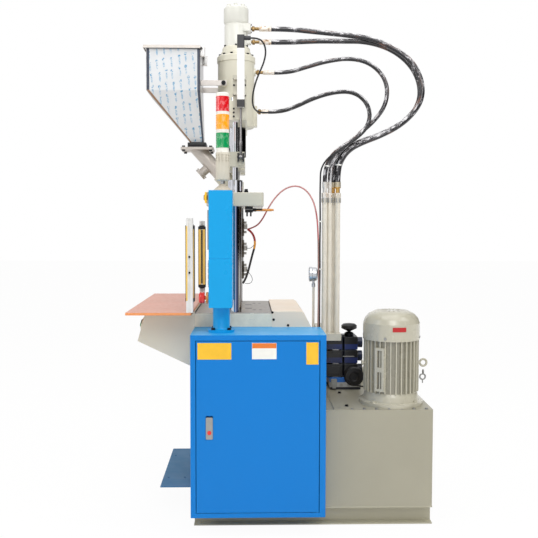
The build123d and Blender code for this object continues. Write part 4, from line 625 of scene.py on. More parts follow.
def redress(name, finish, body, bevel):
    """A clean copy of a CAD node with flat faces joined and its edges broken."""
    work = bmesh.new()
    work.from_mesh(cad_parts[name].data)
    bmesh.ops.remove_doubles(work, verts=work.verts, dist=ONE_CAD_POINT)
    bmesh.ops.dissolve_limit(work, angle_limit=math.radians(FLAT_ANGLE), verts=work.verts,
                             edges=work.edges)
    mesh = bpy.data.meshes.new(name + "_dressed")
    work.to_mesh(mesh)
    work.free()
    if name in EASED:
        start, factor = EASED[name]
        for vert in mesh.vertices:
            if vert.co.z / MM > start:
                vert.co.x *= factor
                vert.co.y *= factor
    settle(name + "_dressed", mesh, finish, body, bevel, replaces=(name,))
    for height in CREASES.get(name, ()):
        for edge in mesh.edges:
            if all(abs(mesh.vertices[i].co.z / MM - height) < CREASE_REACH
                   for i in edge.vertices):
                edge.use_edge_sharp = True


def block_into(work, x0, x1, y0, y1, z0, z1):
    """Adds a block between two corners to a mesh in the making."""
    made = bmesh.ops.create_cube(work, size=1.0)
    for vert in made["verts"]:
        vert.co = Vector((x0 if vert.co.x < 0 else x1, y0 if vert.co.y < 0 else y1,
                          z0 if vert.co.z < 0 else z1))
    return made["verts"]


def circle(count, radius, centre, z=0.0, first=0.0):
    """Points spaced evenly round an upright axis, from an angle in degrees."""
    angles = [math.radians(first + 360.0 * i / count) for i in range(count)]
    return [Vector((centre[0] + radius * math.cos(a), centre[1] + radius * math.sin(a), z))
            for a in angles]


def turned_into(work, profile, centre, axis=UP, segments=48):
    """Adds a turned shape from points of radius and distance along the axis."""
    turn = Vector(UP).rotation_difference(Vector(axis).normalized()).to_matrix()
    rings = []
    for radius, along in profile:
        points = circle(segments, radius, (0, 0), along) if radius > 1e-6 else [
            Vector((0, 0, along))]
        rings.append([work.verts.new(turn @ point + Vector(centre)) for point in points])
    for low, high in zip(rings, rings[1:]):
        if len(low) == len(high) == 1:
            continue
        for i in range(segments):
            j = (i + 1) % segments
            if len(low) == 1:
                work.faces.new((low[0], high[j], high[i]))
            elif len(high) == 1:
                work.faces.new((low[i], low[j], high[0]))
            else:
                work.faces.new((low[i], low[j], high[j], high[i]))


def built(name, build, finish, body, bevel=0.0, sharp=SHARP_ANGLE, replaces=()):
    """A piece from a function that adds closed shapes, with its faces turned outwards."""
    work = bmesh.new()
    build(work)
    bmesh.ops.remove_doubles(work, verts=work.verts, dist=0.001)
    bmesh.ops.recalc_face_normals(work, faces=work.faces)
    mesh = bpy.data.meshes.new(name)
    work.to_mesh(mesh)
    work.free()
    mesh.transform(Matrix.Scale(MM, 4))
    return settle(name, mesh, finish, body, bevel * MM, sharp, replaces)


def shape(name, finish, body, boxes=(), turned=(), bevel=0.0, replaces=()):
    """A piece from boxes, as two corners each, and turned parts, as for turned_into."""
    def build(work):
        for box in boxes:
            block_into(work, *box)
        for part in turned:
            turned_into(work, *part)

    return built(name, build, finish, body, bevel, replaces=replaces)


def plate(name, box, finish, body, bevel=0.4):
    """A small flat plate."""
    return shape(name, finish, body, [box], bevel=bevel)


# Geometry Nodes trees

TREES = {}


def new_tree(name, inputs):
    """A Geometry Nodes tree with named inputs, and its input node's sockets."""
    tree = bpy.data.node_groups.new(name, "GeometryNodeTree")
    ids = {}
    for key, (kind, value) in inputs.items():
        socket = tree.interface.new_socket(name=key, in_out="INPUT",
                                           socket_type="NodeSocket" + kind)
        if value is not None:
            socket.default_value = value
        ids[key] = socket.identifier
    tree.interface.new_socket(name="Geometry", in_out="OUTPUT", socket_type="NodeSocketGeometry")
    TREES[name] = (tree, ids)
    return tree, tree.nodes.new("NodeGroupInput").outputs


def end_tree(tree, geometry, material):
    """Ends a tree in Realize Instances and Set Material."""
    real = node(tree, "GeometryNodeRealizeInstances", {"Geometry": geometry})
    final = node(tree, "GeometryNodeSetMaterial",
                 {"Geometry": real.outputs["Geometry"], "Material": material})
    node(tree, "NodeGroupOutput", {"Geometry": final.outputs["Geometry"]})


def along_z(tree, distance):
    """A vector of a distance along Z."""
    return node(tree, "ShaderNodeCombineXYZ", {"Z": distance}).outputs["Vector"]


def moved(tree, geometry, shift):
    """A geometry shifted by a vector."""
    return node(tree, "GeometryNodeTransform",
                {"Geometry": geometry, "Translation": shift}).outputs["Geometry"]


def drum(tree, sides, radius, height):
    """A plain drum about the origin."""
    return node(tree, "GeometryNodeMeshCylinder",
                {"Vertices": sides, "Radius": radius, "Depth": height}).outputs["Mesh"]


def joined(tree, *parts):
    """Several geometries as one."""
    join = tree.nodes.new("GeometryNodeJoinGeometry")
    for part in parts:
        tree.links.new(part, join.inputs["Geometry"])
    return join.outputs["Geometry"]


def make_fastener_tree():
    """Hexagon or round screw heads with washers on the points of a mesh."""
    tree, given = new_tree("Fasteners", {
        "Geometry": ("Geometry", None), "Head radius": ("Float", 0.008),
        "Head height": ("Float", 0.006), "Head sides": ("Int", 6),
        "Washer radius": ("Float", 0.011), "Washer height": ("Float", 0.0015),
        "Finish": ("Material", None)})

    def upright(sides, part, base):
        height = given[part + " height"]
        middle = calculate(tree, "MULTIPLY_ADD", height, 0.5, base)
        return moved(tree, drum(tree, sides, given[part + " radius"], height),
                     along_z(tree, middle))

    screw = joined(tree, upright(20, "Washer", 0.0),
                   upright(given["Head sides"], "Head", given["Washer height"]))
    facing = node(tree, "GeometryNodeInputNamedAttribute", {"Name": "facing"},
                  data_type="FLOAT_VECTOR")
    align = node(tree, "FunctionNodeAlignRotationToVector",
                 {"Vector": facing.outputs["Attribute"]}, axis="Z")
    points = node(tree, "GeometryNodeMeshToPoints", {"Mesh": given["Geometry"]})
    spread = node(tree, "GeometryNodeInstanceOnPoints",
                  {"Points": points.outputs["Points"], "Instance": screw,
                   "Rotation": align.outputs["Rotation"]})
    end_tree(tree, spread.outputs["Instances"], given["Finish"])


def make_ribbed_tree():
    """A drum with evenly spaced ridges, upright on its base."""
    tree, given = new_tree("Ribbed drum", {
        "Radius": ("Float", 0.03), "Height": ("Float", 0.07), "Sides": ("Int", 48),
        "Ribs": ("Int", 9), "Rib depth": ("Float", 0.001), "Base": ("Vector", None),
        "Finish": ("Material", None)})
    height = given["Height"]
    core = moved(tree, drum(tree, given["Sides"], given["Radius"], height),
                 along_z(tree, calculate(tree, "MULTIPLY", height, 0.5)))
    pitch = calculate(tree, "DIVIDE", height, given["Ribs"])
    half_pitch = calculate(tree, "MULTIPLY", pitch, 0.5)
    line = node(tree, "GeometryNodeMeshLine",
                {"Count": given["Ribs"], "Offset": along_z(tree, pitch),
                 "Start Location": along_z(tree, half_pitch)})
    rib = drum(tree, given["Sides"],
               calculate(tree, "ADD", given["Radius"], given["Rib depth"]), half_pitch)
    spread = node(tree, "GeometryNodeInstanceOnPoints",
                  {"Points": line.outputs["Mesh"], "Instance": rib})
    whole = moved(tree, joined(tree, core, spread.outputs["Instances"]), given["Base"])
    end_tree(tree, whole, given["Finish"])


def plain_mesh(name, data, values=None, tree_name=None):
    """The evaluated mesh of a curve, or of a mesh with a tree on it."""
    carrier = bpy.data.objects.new(name, data)
    bpy.context.scene.collection.objects.link(carrier)
    if tree_name:
        tree, ids = TREES[tree_name]
        modifier = carrier.modifiers.new("Grow", "NODES")
        modifier.node_group = tree
        for key, value in values.items():
            modifier[ids[key]] = value
    graph = bpy.context.evaluated_depsgraph_get()
    mesh = bpy.data.meshes.new_from_object(carrier.evaluated_get(graph), depsgraph=graph)
    mesh.name = name
    bpy.data.objects.remove(carrier)
    return mesh


def aimed(direction, spots):
    """Places for screws that all point one way."""
    return [(spot, direction) for spot in spots]


def fasteners(name, places, body, size, finish="blackened steel"):
    """Screw heads at a list of place and direction, in millimetres.

    The size is the head's radius, height and sides, and the washer's radius and height."""
    radius, height, sides, washer, washer_height = size
    base = bpy.data.meshes.new(name + "_points")
    base.from_pydata([Vector(spot) * MM for spot, _ in places], [], [])
    facing = base.attributes.new("facing", "FLOAT_VECTOR", "POINT")
    for i, (_, direction) in enumerate(places):
        facing.data[i].vector = Vector(direction).normalized()
    mesh = plain_mesh(name, base, {
        "Head radius": radius * MM, "Head height": height * MM, "Head sides": sides,
        "Washer radius": washer * MM, "Washer height": washer_height * MM,
        "Finish": FINISHES[finish]}, "Fasteners")
    settle(name, mesh, finish, body)


def ribbed(name, centre, radius, height, ribs, depth, finish, body):
    """A ribbed drum that stands on a point, in millimetres."""
    mesh = plain_mesh(name, bpy.data.meshes.new(name + "_base"), {
        "Radius": radius * MM, "Height": height * MM, "Sides": 48, "Ribs": ribs,
        "Rib depth": depth * MM, "Base": Vector(centre) * MM, "Finish": FINISHES[finish]},
        "Ribbed drum")
    return settle(name, mesh, finish, body)


# Cords

HOSE_1 = [(176, -20, 2355), (268, -20, 2355), (396, -23, 2342), (537, -27, 2328),
          (669, -30, 2313), (782, -49, 2263), (874, -70, 2194), (922, -88, 2098),
          (924, -105, 2001), (873, -122, 1920), (796, -138, 1855), (704, -156, 1808),
          (624, -174, 1777), (558, -192, 1744), (517, -203, 1700), (494, -205, 1642),
          (494, -205, 1580)]
HOSE_2 = [(176, -10, 2292), (270, -10, 2292), (402, -10, 2300), (529, -9, 2300),
          (655, -9, 2301), (778, -20, 2263), (872, -34, 2189), (922, -48, 2092),
          (920, -64, 1990), (862, -82, 1908), (772, -98, 1847), (680, -112, 1808),
          (600, -130, 1781), (540, -152, 1748), (498, -170, 1702), (474, -176, 1643),
          (474, -176, 1580)]
HOSE_3 = [(192, 0, 2143), (262, 0, 2143), (352, -4, 2170), (453, -10, 2199),
          (564, -20, 2214), (662, -38, 2192), (731, -62, 2127), (755, -84, 2049),
          (739, -100, 1963), (686, -118, 1890), (612, -142, 1825), (552, -170, 1775),
          (504, -190, 1732), (471, -200, 1686), (456, -200, 1632), (456, -200, 1580)]
HOSE_4 = [(163, -10, 1945), (224, -10, 1945), (302, -16, 1971), (385, -26, 2010),
          (472, -40, 2036), (558, -62, 2042), (616, -84, 2016), (652, -108, 1966),
          (659, -142, 1905), (638, -172, 1848), (595, -194, 1803), (541, -208, 1766),
          (488, -214, 1732), (452, -215, 1690), (430, -215, 1632), (430, -215, 1580)]
CABLE = [(73, -320, 2234), (106, -320, 2234), (133, -314, 2216), (144, -300, 2180),
         (137, -284, 2138), (119, -268, 2098), (99, -250, 2055), (85, -225, 2007),
         (80, -186, 1968), (88, -132, 1942), (112, -76, 1932), (160, -38, 1936),
         (224, -30, 1943), (302, -34, 1968), (384, -44, 2006), (471, -58, 2032),
         (558, -80, 2038), (616, -102, 2012), (652, -126, 1963), (660, -160, 1902),
         (640, -190, 1845), (596, -212, 1799), (543, -227, 1763), (490, -235, 1728),
         (438, -235, 1690), (409, -222, 1642), (408, -218, 1580),
         (407, -220, 1500), (409, -218, 1390), (407, -220, 1275), (409, -218, 1160),
         (407, -220, 1045), (408, -218, 940), (408, -218, 850)]
HEATER_WIRE = [(58, -36, 1352), (72, -36, 1344), (88, -36, 1322), (96, -36, 1294),
               (94, -36, 1262), (84, -36, 1230), (72, -36, 1182), (60, -36, 1134),
               (47, -38, 1098), (34, -40, 1078)]
BRANCH_HIGH = [(50, -22, 1258), (62, -26, 1254), (78, -30, 1258), (90, -34, 1272)]
BRANCH_LOW = [(52, -22, 1150), (66, -26, 1130), (80, -30, 1112), (84, -32, 1092), (70, -32, 1074),
              (46, -28, 1078)]
MOTOR_CABLE = [(560, -30, 576), (580, -60, 568), (612, -104, 566), (646, -146, 570),
               (676, -178, 580)]
HEATER_LEAD = [(398, -252, 850), (398, -252, 930), (400, -250, 1050), (398, -248, 1190),
               (398, -240, 1310), (394, -214, 1414), (380, -180, 1488), (350, -150, 1541),
               (306, -124, 1568), (254, -108, 1560), (206, -94, 1524), (164, -82, 1464),
               (132, -68, 1400), (100, -46, 1364), (58, -30, 1352)]


def curve_mesh(name, points, radius):
    """A NURBS route in metres, as a mesh: a line where the radius is nought, else a tube."""
    curve = bpy.data.curves.new(name, "CURVE")
    curve.dimensions = "3D"
    curve.resolution_u = 6
    spline = curve.splines.new("NURBS")
    spline.points.add(len(points) - 1)
    for target, point in zip(spline.points, points):
        target.co = (*(Vector(point) * MM), 1.0)
    spline.order_u = 3
    spline.use_endpoint_u = True
    if radius:
        curve.bevel_depth = radius * MM
        curve.bevel_resolution = 5
        curve.use_fill_caps = True
    return plain_mesh(name, curve)


def route_of(name, points):
    """The places along a route in metres, and the length up to each."""
    line = curve_mesh(name + "_line", points, 0)
    path = [vert.co.copy() for vert in line.vertices]
    bpy.data.meshes.remove(line)
    lengths = [0.0]
    for a, b in zip(path, path[1:]):
        lengths.append(lengths[-1] + (b - a).length)
    return path, lengths


def mark_lay(mesh, path, lengths, radius):
    """Stores for each point of a tube the length along the cord and its place round it."""
    lay = mesh.attributes.new("lay", "FLOAT_VECTOR", "POINT")
    for vert in mesh.vertices:
        i = min(range(len(path)), key=lambda k: (path[k] - vert.co).length_squared)
        off = (vert.co - path[i]) / radius
        lay.data[vert.index].vector = (lengths[i], off.x + off.y, off.z)


def short_wire(name, points, radius, finish, body):
    """A thin wire whose ends are both on one body."""
    path, lengths = route_of(name, points)
    piece = settle(name, curve_mesh(name, points, radius), finish, body,
                   sharp=SHARP_ON_CORDS)


def lay_cord(name, points, radius, finish):
    """A cord between the press and the pipes, laid as a fixed tube with its lay stored."""
    path, lengths = route_of(name, points)
    mesh = curve_mesh(name + "_cord", points, radius)
    mark_lay(mesh, path, lengths, radius * MM)
    piece = settle(name + "_cord", mesh, finish, None, sharp=SHARP_ON_CORDS,
                   replaces=(name,))
    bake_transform(piece)


class MACHINE_OT_cords(bpy.types.Operator):
    """Hydraulic hoses, sensor cable and heater lead"""
    bl_idname = "machine.cords"
    bl_label = "Hoses and leads"

    def execute(self, context):
        for name, points, radius, finish in (("hose_1", HOSE_1, 12.7, "hose rubber"),
                                             ("hose_2", HOSE_2, 12.7, "hose rubber"),
                                             ("hose_3", HOSE_3, 10.6, "worn hose rubber"),
                                             ("hose_4", HOSE_4, 10.6, "hose rubber")):
            lay_cord(name, points, radius, finish)
        lay_cord("sensor_cable", CABLE, 4.0, "cable rubber")
        lay_cord("heater_lead", HEATER_LEAD, 3.8, "heater sleeve")
        short_wire("heater_wire", HEATER_WIRE, 5.5, "heater wire", "clamp")
        for name, points, radius, body in (("heater_branch_high", BRANCH_HIGH, 1.3, "clamp"),
                                           ("heater_branch_low", BRANCH_LOW, 1.3, "clamp"),
                                           ("motor_cable", MOTOR_CABLE, 3.5, "machine")):
            short_wire(name, points, radius, "cable rubber", body)
        return {"FINISHED"}


# CAD nodes with broken edges: node, finish, body, slot and the kind of edge

DRESSED = [
    ("base_frame", "channel enamel", "machine", "frame_paint", "cut"),
    ("press_frame", "cabinet coat", "machine", "cabinet_paint", "cut"),
    ("cover_sheets", "cover enamel", "machine", "frame_paint", "sheet"),
    ("clamp_cylinder", "cast iron", "machine", "steel", "cut"),
    ("table_top", "laminate", "machine", "laminate", "cut"),
    ("control_housing", "housing enamel", "machine", "frame_paint", "sheet"),
    ("light_curtains", "anodised", "machine", "aluminium", "none"),
    ("foot_plate", "foot coat", "machine", "cabinet_paint", "sheet"),
    ("cabinet_body", "cabinet coat", "machine", "cabinet_paint", "sheet"),
    ("control_gear", "grey plastic", "machine", "grey_plastic", "sheet"),
    ("console_column", "console coat", "machine", "console_paint", "none"),
    ("oil_tank", "tank enamel", "machine", "frame_paint", "cut"),
    ("motor_body", "motor frame", "machine", "frame_paint", "none"),
    ("fan_cowl", "motor enamel", "machine", "frame_paint", "none"),
    ("valve_manifold", "manifold", "machine", "valve_paint", "none"),
    ("valve_bodies", "valve stack", "machine", "valve_paint", "none"),
    ("steel_pipes", "pipe run", "machine", "frame_paint", "none"),
    ("gauge_case", "stainless sheet", "machine", "stainless", "none"),
    ("cabinet_door", "cabinet coat", "door", "cabinet_paint", "sheet"),
    ("latch_handle", "dull zinc", "latch", "stainless", "none"),
    ("latch_button", "red plastic", "latch_push", "red_plastic", "none"),
    ("switch_knob", "black plastic", "main_switch", "black_plastic", "sheet"),
    ("console_box", "console coat", "console", "console_paint", "sheet"),
    ("console_panel", "grey plastic", "console", "grey_plastic", "sheet"),
    ("tower_body", "sounder stack", "console", "grey_plastic", "none"),
    ("stop_button", "red plastic", "stop", "red_plastic", "none"),
    ("selector_knob", "black plastic", "selector", "black_plastic", "none"),
    ("start_button_near", "start button", "start_near", "green_plastic", "none"),
    ("start_button_far", "start button", "start_far", "green_plastic", "none"),
    ("relief_knob", "black plastic", "relief", "black_plastic", "none"),
    ("motor_rotor", "dull zinc", "rotor", "steel", "none"),
    ("gauge_needle", "black gloss", "needle", "black_plastic", "none"),
    ("tie_bars", "tie chrome", "clamp", "chrome", "none"),
    ("clamp_crosshead", "cast iron", "clamp", "cast_grey", "cut"),
    ("upper_platen", "platen enamel", "clamp", "frame_paint", "cut"),
    ("feed_block", "machine enamel", "clamp", "frame_paint", "cut"),
    ("barrel", "turned steel", "clamp", "steel", "none"),
    ("nozzle", "turned steel", "clamp", "steel", "none"),
    ("heater_bands", "heater band", "clamp", "dark_steel", "none"),
    ("stay_rods", "chrome rod", "clamp", "chrome", "none"),
    ("injection_cylinder", "cylinder enamel", "clamp", "frame_paint", "cut"),
    ("hydraulic_motor", "pale enamel", "clamp", "frame_paint", "none"),
    ("transducer", "sensor bar", "clamp", "aluminium", "none"),
    ("feed_chute", "chute steel", "clamp", "stainless", "none"),
    ("hopper", "hopper sheet", "clamp", "stainless", "sheet"),
    ("drain_cap", "chute steel", "drain", "stainless", "none"),
    ("hopper_lid", "lid steel", "lid", "stainless", "sheet"),
    ("hopper_gate", "blackened steel", "gate", "stainless", "none"),
    ("ram_crosshead", "ram head", "ram", "frame_paint", "cut"),
    ("ram_rod", "ram chrome", "ram", "chrome", "none"),
    ("feed_screw", "turned steel", "screw", "steel", "none"),
    ("lower_platen", "platen face", "machine", "frame_paint", "cut"),
]


class MACHINE_OT_castings(bpy.types.Operator):
    """Finishes and broken edges of the machine's solid pieces"""
    bl_idname = "machine.castings"
    bl_label = "Castings and sheet"

    def execute(self, context):
        sizes = context.scene.machine_sizes
        widths = {"cut": sizes.bevel, "sheet": sizes.sheet_bevel, "none": 0.0}
        for name, finish, body, slot, edge in DRESSED:
            redress(name, finish, body, widths[edge])
        return {"FINISHED"}


class MACHINE_OT_hopper_trim(bpy.types.Operator):
    """Protective film, edge ribbons and lip of the hopper"""
    bl_idname = "machine.hopper_trim"
    bl_label = "Hopper trim"

    def execute(self, context):
        front, low_front = -130.6, -36.6
        places = [(front, 2228), (front, 2028), (low_front, 1788)]

        def ribbon(name, pairs, back, finish):
            """A thin sheet on the hopper's two front faces, from pairs of left and right edge."""
            def sheet_of(work):
                skins = [[[work.verts.new((x, y + shift, z)) for x in pair]
                          for pair, (y, z) in zip(pairs, places)] for shift in (back, back + 0.4)]
                for skin in skins:
                    for upper, lower in zip(skin, skin[1:]):
                        work.faces.new((upper[0], lower[0], lower[1], upper[1]))
                inner, outer = [[row[0] for row in skin] + [row[1] for row in skin[::-1]]
                                for skin in skins]
                for i in range(6):
                    j = (i + 1) % 6
                    work.faces.new((inner[i], inner[j], outer[j], outer[i]))

            built(name, sheet_of, finish, "clamp", sharp=SHARP_ON_RIBBONS)

        ribbon("hopper_film", [(-421, -186), (-421, -186), (-226, -168)], 0.0, "film")
        ribbon("hopper_edge_left", [(-433, -420), (-433, -420), (-230, -222)], -0.3, "film edge")
        ribbon("hopper_edge_right", [(-187, -175), (-187, -175), (-170, -163)], -0.3, "navy edge")
        plate("lid_lip", (-448.6, -171.4, -144.9, -144.0, 2229, 2242), "lid lip", "lid",
              0.3)
        fasteners("hopper_arm_bolts", [((-60, -110, 2070), FRONT)], "clamp",
                  (7.0, 5.0, 6, 11.0, 2.0))
        return {"FINISHED"}


# Hose ends at the injection unit: first and last X, Y, Z and the sleeve's radius

HOSE_ENDS = [(74, 176, -20, 2355, 13.2), (76, 176, -10, 2292, 13.2), (98, 192, 0, 2143, 11.2),
             (106, 163, -10, 1945, 11.2)]


class MACHINE_OT_injection_trim(bpy.types.Operator):
    """Screws, hose ends and tap clamp of the injection unit"""
    bl_idname = "machine.injection_trim"
    bl_label = "Injection unit trim"

    def execute(self, context):
        axis = (0, 0)
        side_rows = [(x, -296, z) for x in (-5, 47) for z in (2052, 2022, 1977)]
        side_rows += [(-6, -296, z) for z in (1914, 1896, 1878)]
        ports = [(73.8, y, z) for y in (-42, 14) for z in (2346, 2368)]
        for name, direction, spots, size in (
                ("cylinder_flange_screws", UP, circle(12, 83, axis, 2217.5, 15),
                 (6.5, 8.0, 16, 6.6, 0.4)),
                ("motor_foot_screws", UP, circle(6, 64, axis, 2263.5, 30),
                 (4.5, 6.0, 16, 4.6, 0.4)),
                ("port_screws", RIGHT, ports, (4.0, 4.0, 16, 4.1, 0.3)),
                ("sensor_plate_screws", FRONT, side_rows, (4.5, 4.0, 16, 4.6, 0.3)),
                ("yoke_screws", FRONT, [(-40, -290, 1908)], (6.0, 5.0, 16, 6.1, 0.3)),
                ("platen_eye_bolts", UP, [(52, y, 1524) for y in (-300, 300)],
                 (8.0, 8.0, 6, 10.0, 8.0)),
                ("clamp_block_pins", DOWN, [(x, -200, 1434) for x in (56, 74)],
                 (4.0, 18.0, 16, 5.0, 2.0))):
            fasteners(name, aimed(direction, spots), "clamp", size)
        nuts, sleeves = [], []
        for x0, x1, y, z, reach in HOSE_ENDS:
            long = x1 - x0
            waist = 0.4 * long
            nuts.append(([(0, 0), (8, 0), (8, waist), (0, waist)], (x0, y, z), RIGHT, 20))
            nuts.append(([(0, 5), (12.5, 5), (13.5, 7), (13.5, 16), (12.5, 18), (0, 18)],
                         (x0, y, z), RIGHT, 6))
            sleeves.append(([(0, 0), (9, 0), (reach, 4), (reach, long - waist - 2),
                             (reach - 1, long - waist + 1), (0, long - waist + 1)],
                            (x0 + waist - 1, y, z), RIGHT, 32))
        shape("hose_nuts", "dark brass", "clamp", turned=nuts,
              replaces=("hose_fittings",))
        shape("hose_sleeves", "plated sleeve", "clamp", turned=sleeves)
        shape("tap_clamp", "black plastic", "clamp",
              [(46, 84, -214, -186, 1448, 1461), (46, 84, -213, -187, 1433, 1446.5)],
              [([(0, 0), (8, 0), (8, 16), (6.4, 18), (6.4, 44), (0, 44)], (84, -200, 1445),
                RIGHT, 24)], 0.6)
        shape("tap_nipple", "pale gold", "clamp",
              turned=[([(0, 0), (5, 0), (6.6, 2), (6.6, 46), (5, 50), (5, 58), (0, 58)],
                       (127, -200, 1445), RIGHT, 24)])
        # Painted highlight: a thin gold strip along the black tube stands in for its golden glint.
        plate("tap_glint_strip", (86, 128, -206.8, -206, 1440, 1444), "pale gold", "clamp",
              0.2)
        return {"FINISHED"}


class MACHINE_OT_tower_light(bpy.types.Operator):
    """Ribbed lenses of the tower light"""
    bl_idname = "machine.tower_light"
    bl_label = "Tower light"

    def execute(self, context):
        ribs = context.scene.machine_sizes.lens_ribs
        radius, height, ridge = 29.0, 66.0, 1.0
        for colour, z in (("green", 1711), ("amber", 1792), ("red", 1871)):
            lens = ribbed("lens_" + colour, (-52, -475, z), radius, height, ribs, ridge,
                          colour + " lens", "console")
            if colour == "green":
                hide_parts("tower_lenses")
        return {"FINISHED"}


class MACHINE_OT_console_trim(bpy.types.Operator):
    """Screen, stop collar, selector housing and bolts of the console"""
    bl_idname = "machine.console_trim"
    bl_label = "Console trim"

    def execute(self, context):
        x, y = -109.0, -475
        plate("console_screen", (x - 3.6, x - 3.0, -564, -386, 1277, 1419), "black gloss",
              "console", 0.1)
        shape("stop_collar", "pale gold", "console",
              turned=[([(11, 0), (26, 0), (26, 7), (24, 9), (11, 9), (11, 0)], (x - 8.5, y, 1044),
                       LEFT)])
        shape("stop_skirt", "red plastic", "stop",
              turned=[([(10, 0), (22, 0), (25, 3), (25, 9), (23.5, 11), (23.5, 14), (25, 16),
                        (25, 21), (20, 25), (10, 25), (10, 0)], (x - 23.5, y, 1044), LEFT)])
        shape("selector_housing", "plate yellow", "console",
              [(x - 16, x - 8.4, -586, -546, 1464, 1511)],
              [([(12, 0), (16, 0), (15, 3), (12, 3), (12, 0)], (x - 16, -564, 1488), LEFT, 32)],
              1.2)
        bolts = [(-58 + a, y + b, 903) for a in (-36, 36) for b in (-36, 36)]
        fasteners("column_bolts", aimed(UP, bolts), "machine", (8.0, 8.0, 6, 9.5, 1.5))
        return {"FINISHED"}


class MACHINE_OT_guards(bpy.types.Operator):
    """Housings and windows of the light curtain"""
    bl_idname = "machine.guards"
    bl_label = "Light curtain"

    def execute(self, context):
        for side, name in ((-1, "near"), (1, "far")):
            y0, y1 = sorted((side * 445.2, side * 412.6))
            wide, narrow = (-221.8, -180.2), (-216, -186)
            shape("curtain_shell_" + name, "guard yellow", "machine",
                  [(x, x + 13.6, y0, y1, 1040, 1352) for x in (-219.6, -196.0)], bevel=0.6)
            shape("curtain_caps_" + name, "black plastic", "machine",
                  [(*wide, y0 + 2, y1 - 2, 1040, 1352), (*wide, y0, y1, 1352, 1368),
                   (*narrow, y0 + 5, y1 - 5, 1368, 1374), (*wide, y0, y1, 1024, 1040),
                   (*narrow, y0 + 5, y1 - 5, 1018, 1024)], bevel=0.6)
            window = sorted((side * 417.6, side * 413.4))
            plate("curtain_window_" + name, (-206.4, -195.6, *window, 1040, 1352),
                  "black gloss", "machine")
            fasteners("post_screws_" + name,
                      aimed((0, side, 0), [(-201, side * 475, z) for z in (1156, 1227)]),
                      "machine", (4.5, 3.0, 16, 4.6, 0.3))
        return {"FINISHED"}


class MACHINE_OT_cabinet_trim(bpy.types.Operator):
    """Blank plates of the door and screws of the covers"""
    bl_idname = "machine.cabinet_trim"
    bl_label = "Cabinet trim"

    def execute(self, context):
        depth = (-596.0, -594.8)
        for name, box, finish in (
                ("left", (-158, -11, *depth, 785, 857), "plate yellow"),
                ("middle", (79, 186, *depth, 786, 857), "plate white"),
                ("band", (80, 185, depth[0] - 0.4, depth[0] + 0.2, 834, 856), "plate orange"),
                ("right", (316, 369, *depth, 762, 859), "plate yellow")):
            plate("door_plate_" + name, box, finish, "door")
        fasteners("cover_screws",
                  aimed(FRONT, [(176, -315, 960), (182, -315, 926), (250, -315, 899)]),
                  "machine", (4.0, 2.5, 16, 6.0, 0.8))
        return {"FINISHED"}


class MACHINE_OT_platen_trim(bpy.types.Operator):
    """Slots of the lower platen with painted shade in them, and the ties of the hoses"""
    bl_idname = "machine.platen_trim"
    bl_label = "Platen and ties"

    def execute(self, context):
        fills = []
        for x in (-80, 80):
            fills.append((x - 9, x + 9, -315, 315, 939.2, 956.7))
            fills += [(x - 15, x + 15, *ends, 927, 939) for ends in ((-315, -301), (301, 315))]
        shape("slot_stops", "platen face", "machine", fills)
        # Painted shade: thin black sheets on the platen's top stand in for the dark inside of its
        # slots and holes.
        shade_disc = [(0.2, 0), (9.0, 0), (9.0, 0.4), (0.2, 0.4), (0.2, 0)]
        shape("platen_slot_shade", "black plastic", "machine",
              [(46, 79, y - 14, y + 14, 957.1, 957.5) for y in (-90, 90)],
              [(shade_disc, (x, y, 957.1), UP, 20) for x in (92, 122) for y in (-165, 165)])
        heads, bands = [], []
        for x, y, z, reach in ((498, -205, 1662, 13.4), (440, -214, 1656, 11.4),
                               (409, -219, 1390, 6.0), (409, -219, 1160, 6.0)):
            bands.append(([(reach, -3), (reach + 1.6, -3), (reach + 1.6, 3), (reach, 3),
                           (reach, -3)], (x, y, z), (0.05, 0, 1), 28))
            heads.append((x - 3, x + 3, y - reach - 5, y - reach - 1, z - 3.5, z + 3.5))
        shape("hose_ties", "white plastic", "machine", heads, bands)
        return {"FINISHED"}


# The pump motor's axis, and the pipes' axes at their upper ends

MOTOR_AXIS = (741.0, -310.0)
PIPE_ENDS = [(430, -215), (456, -200), (474, -176), (494, -205)]


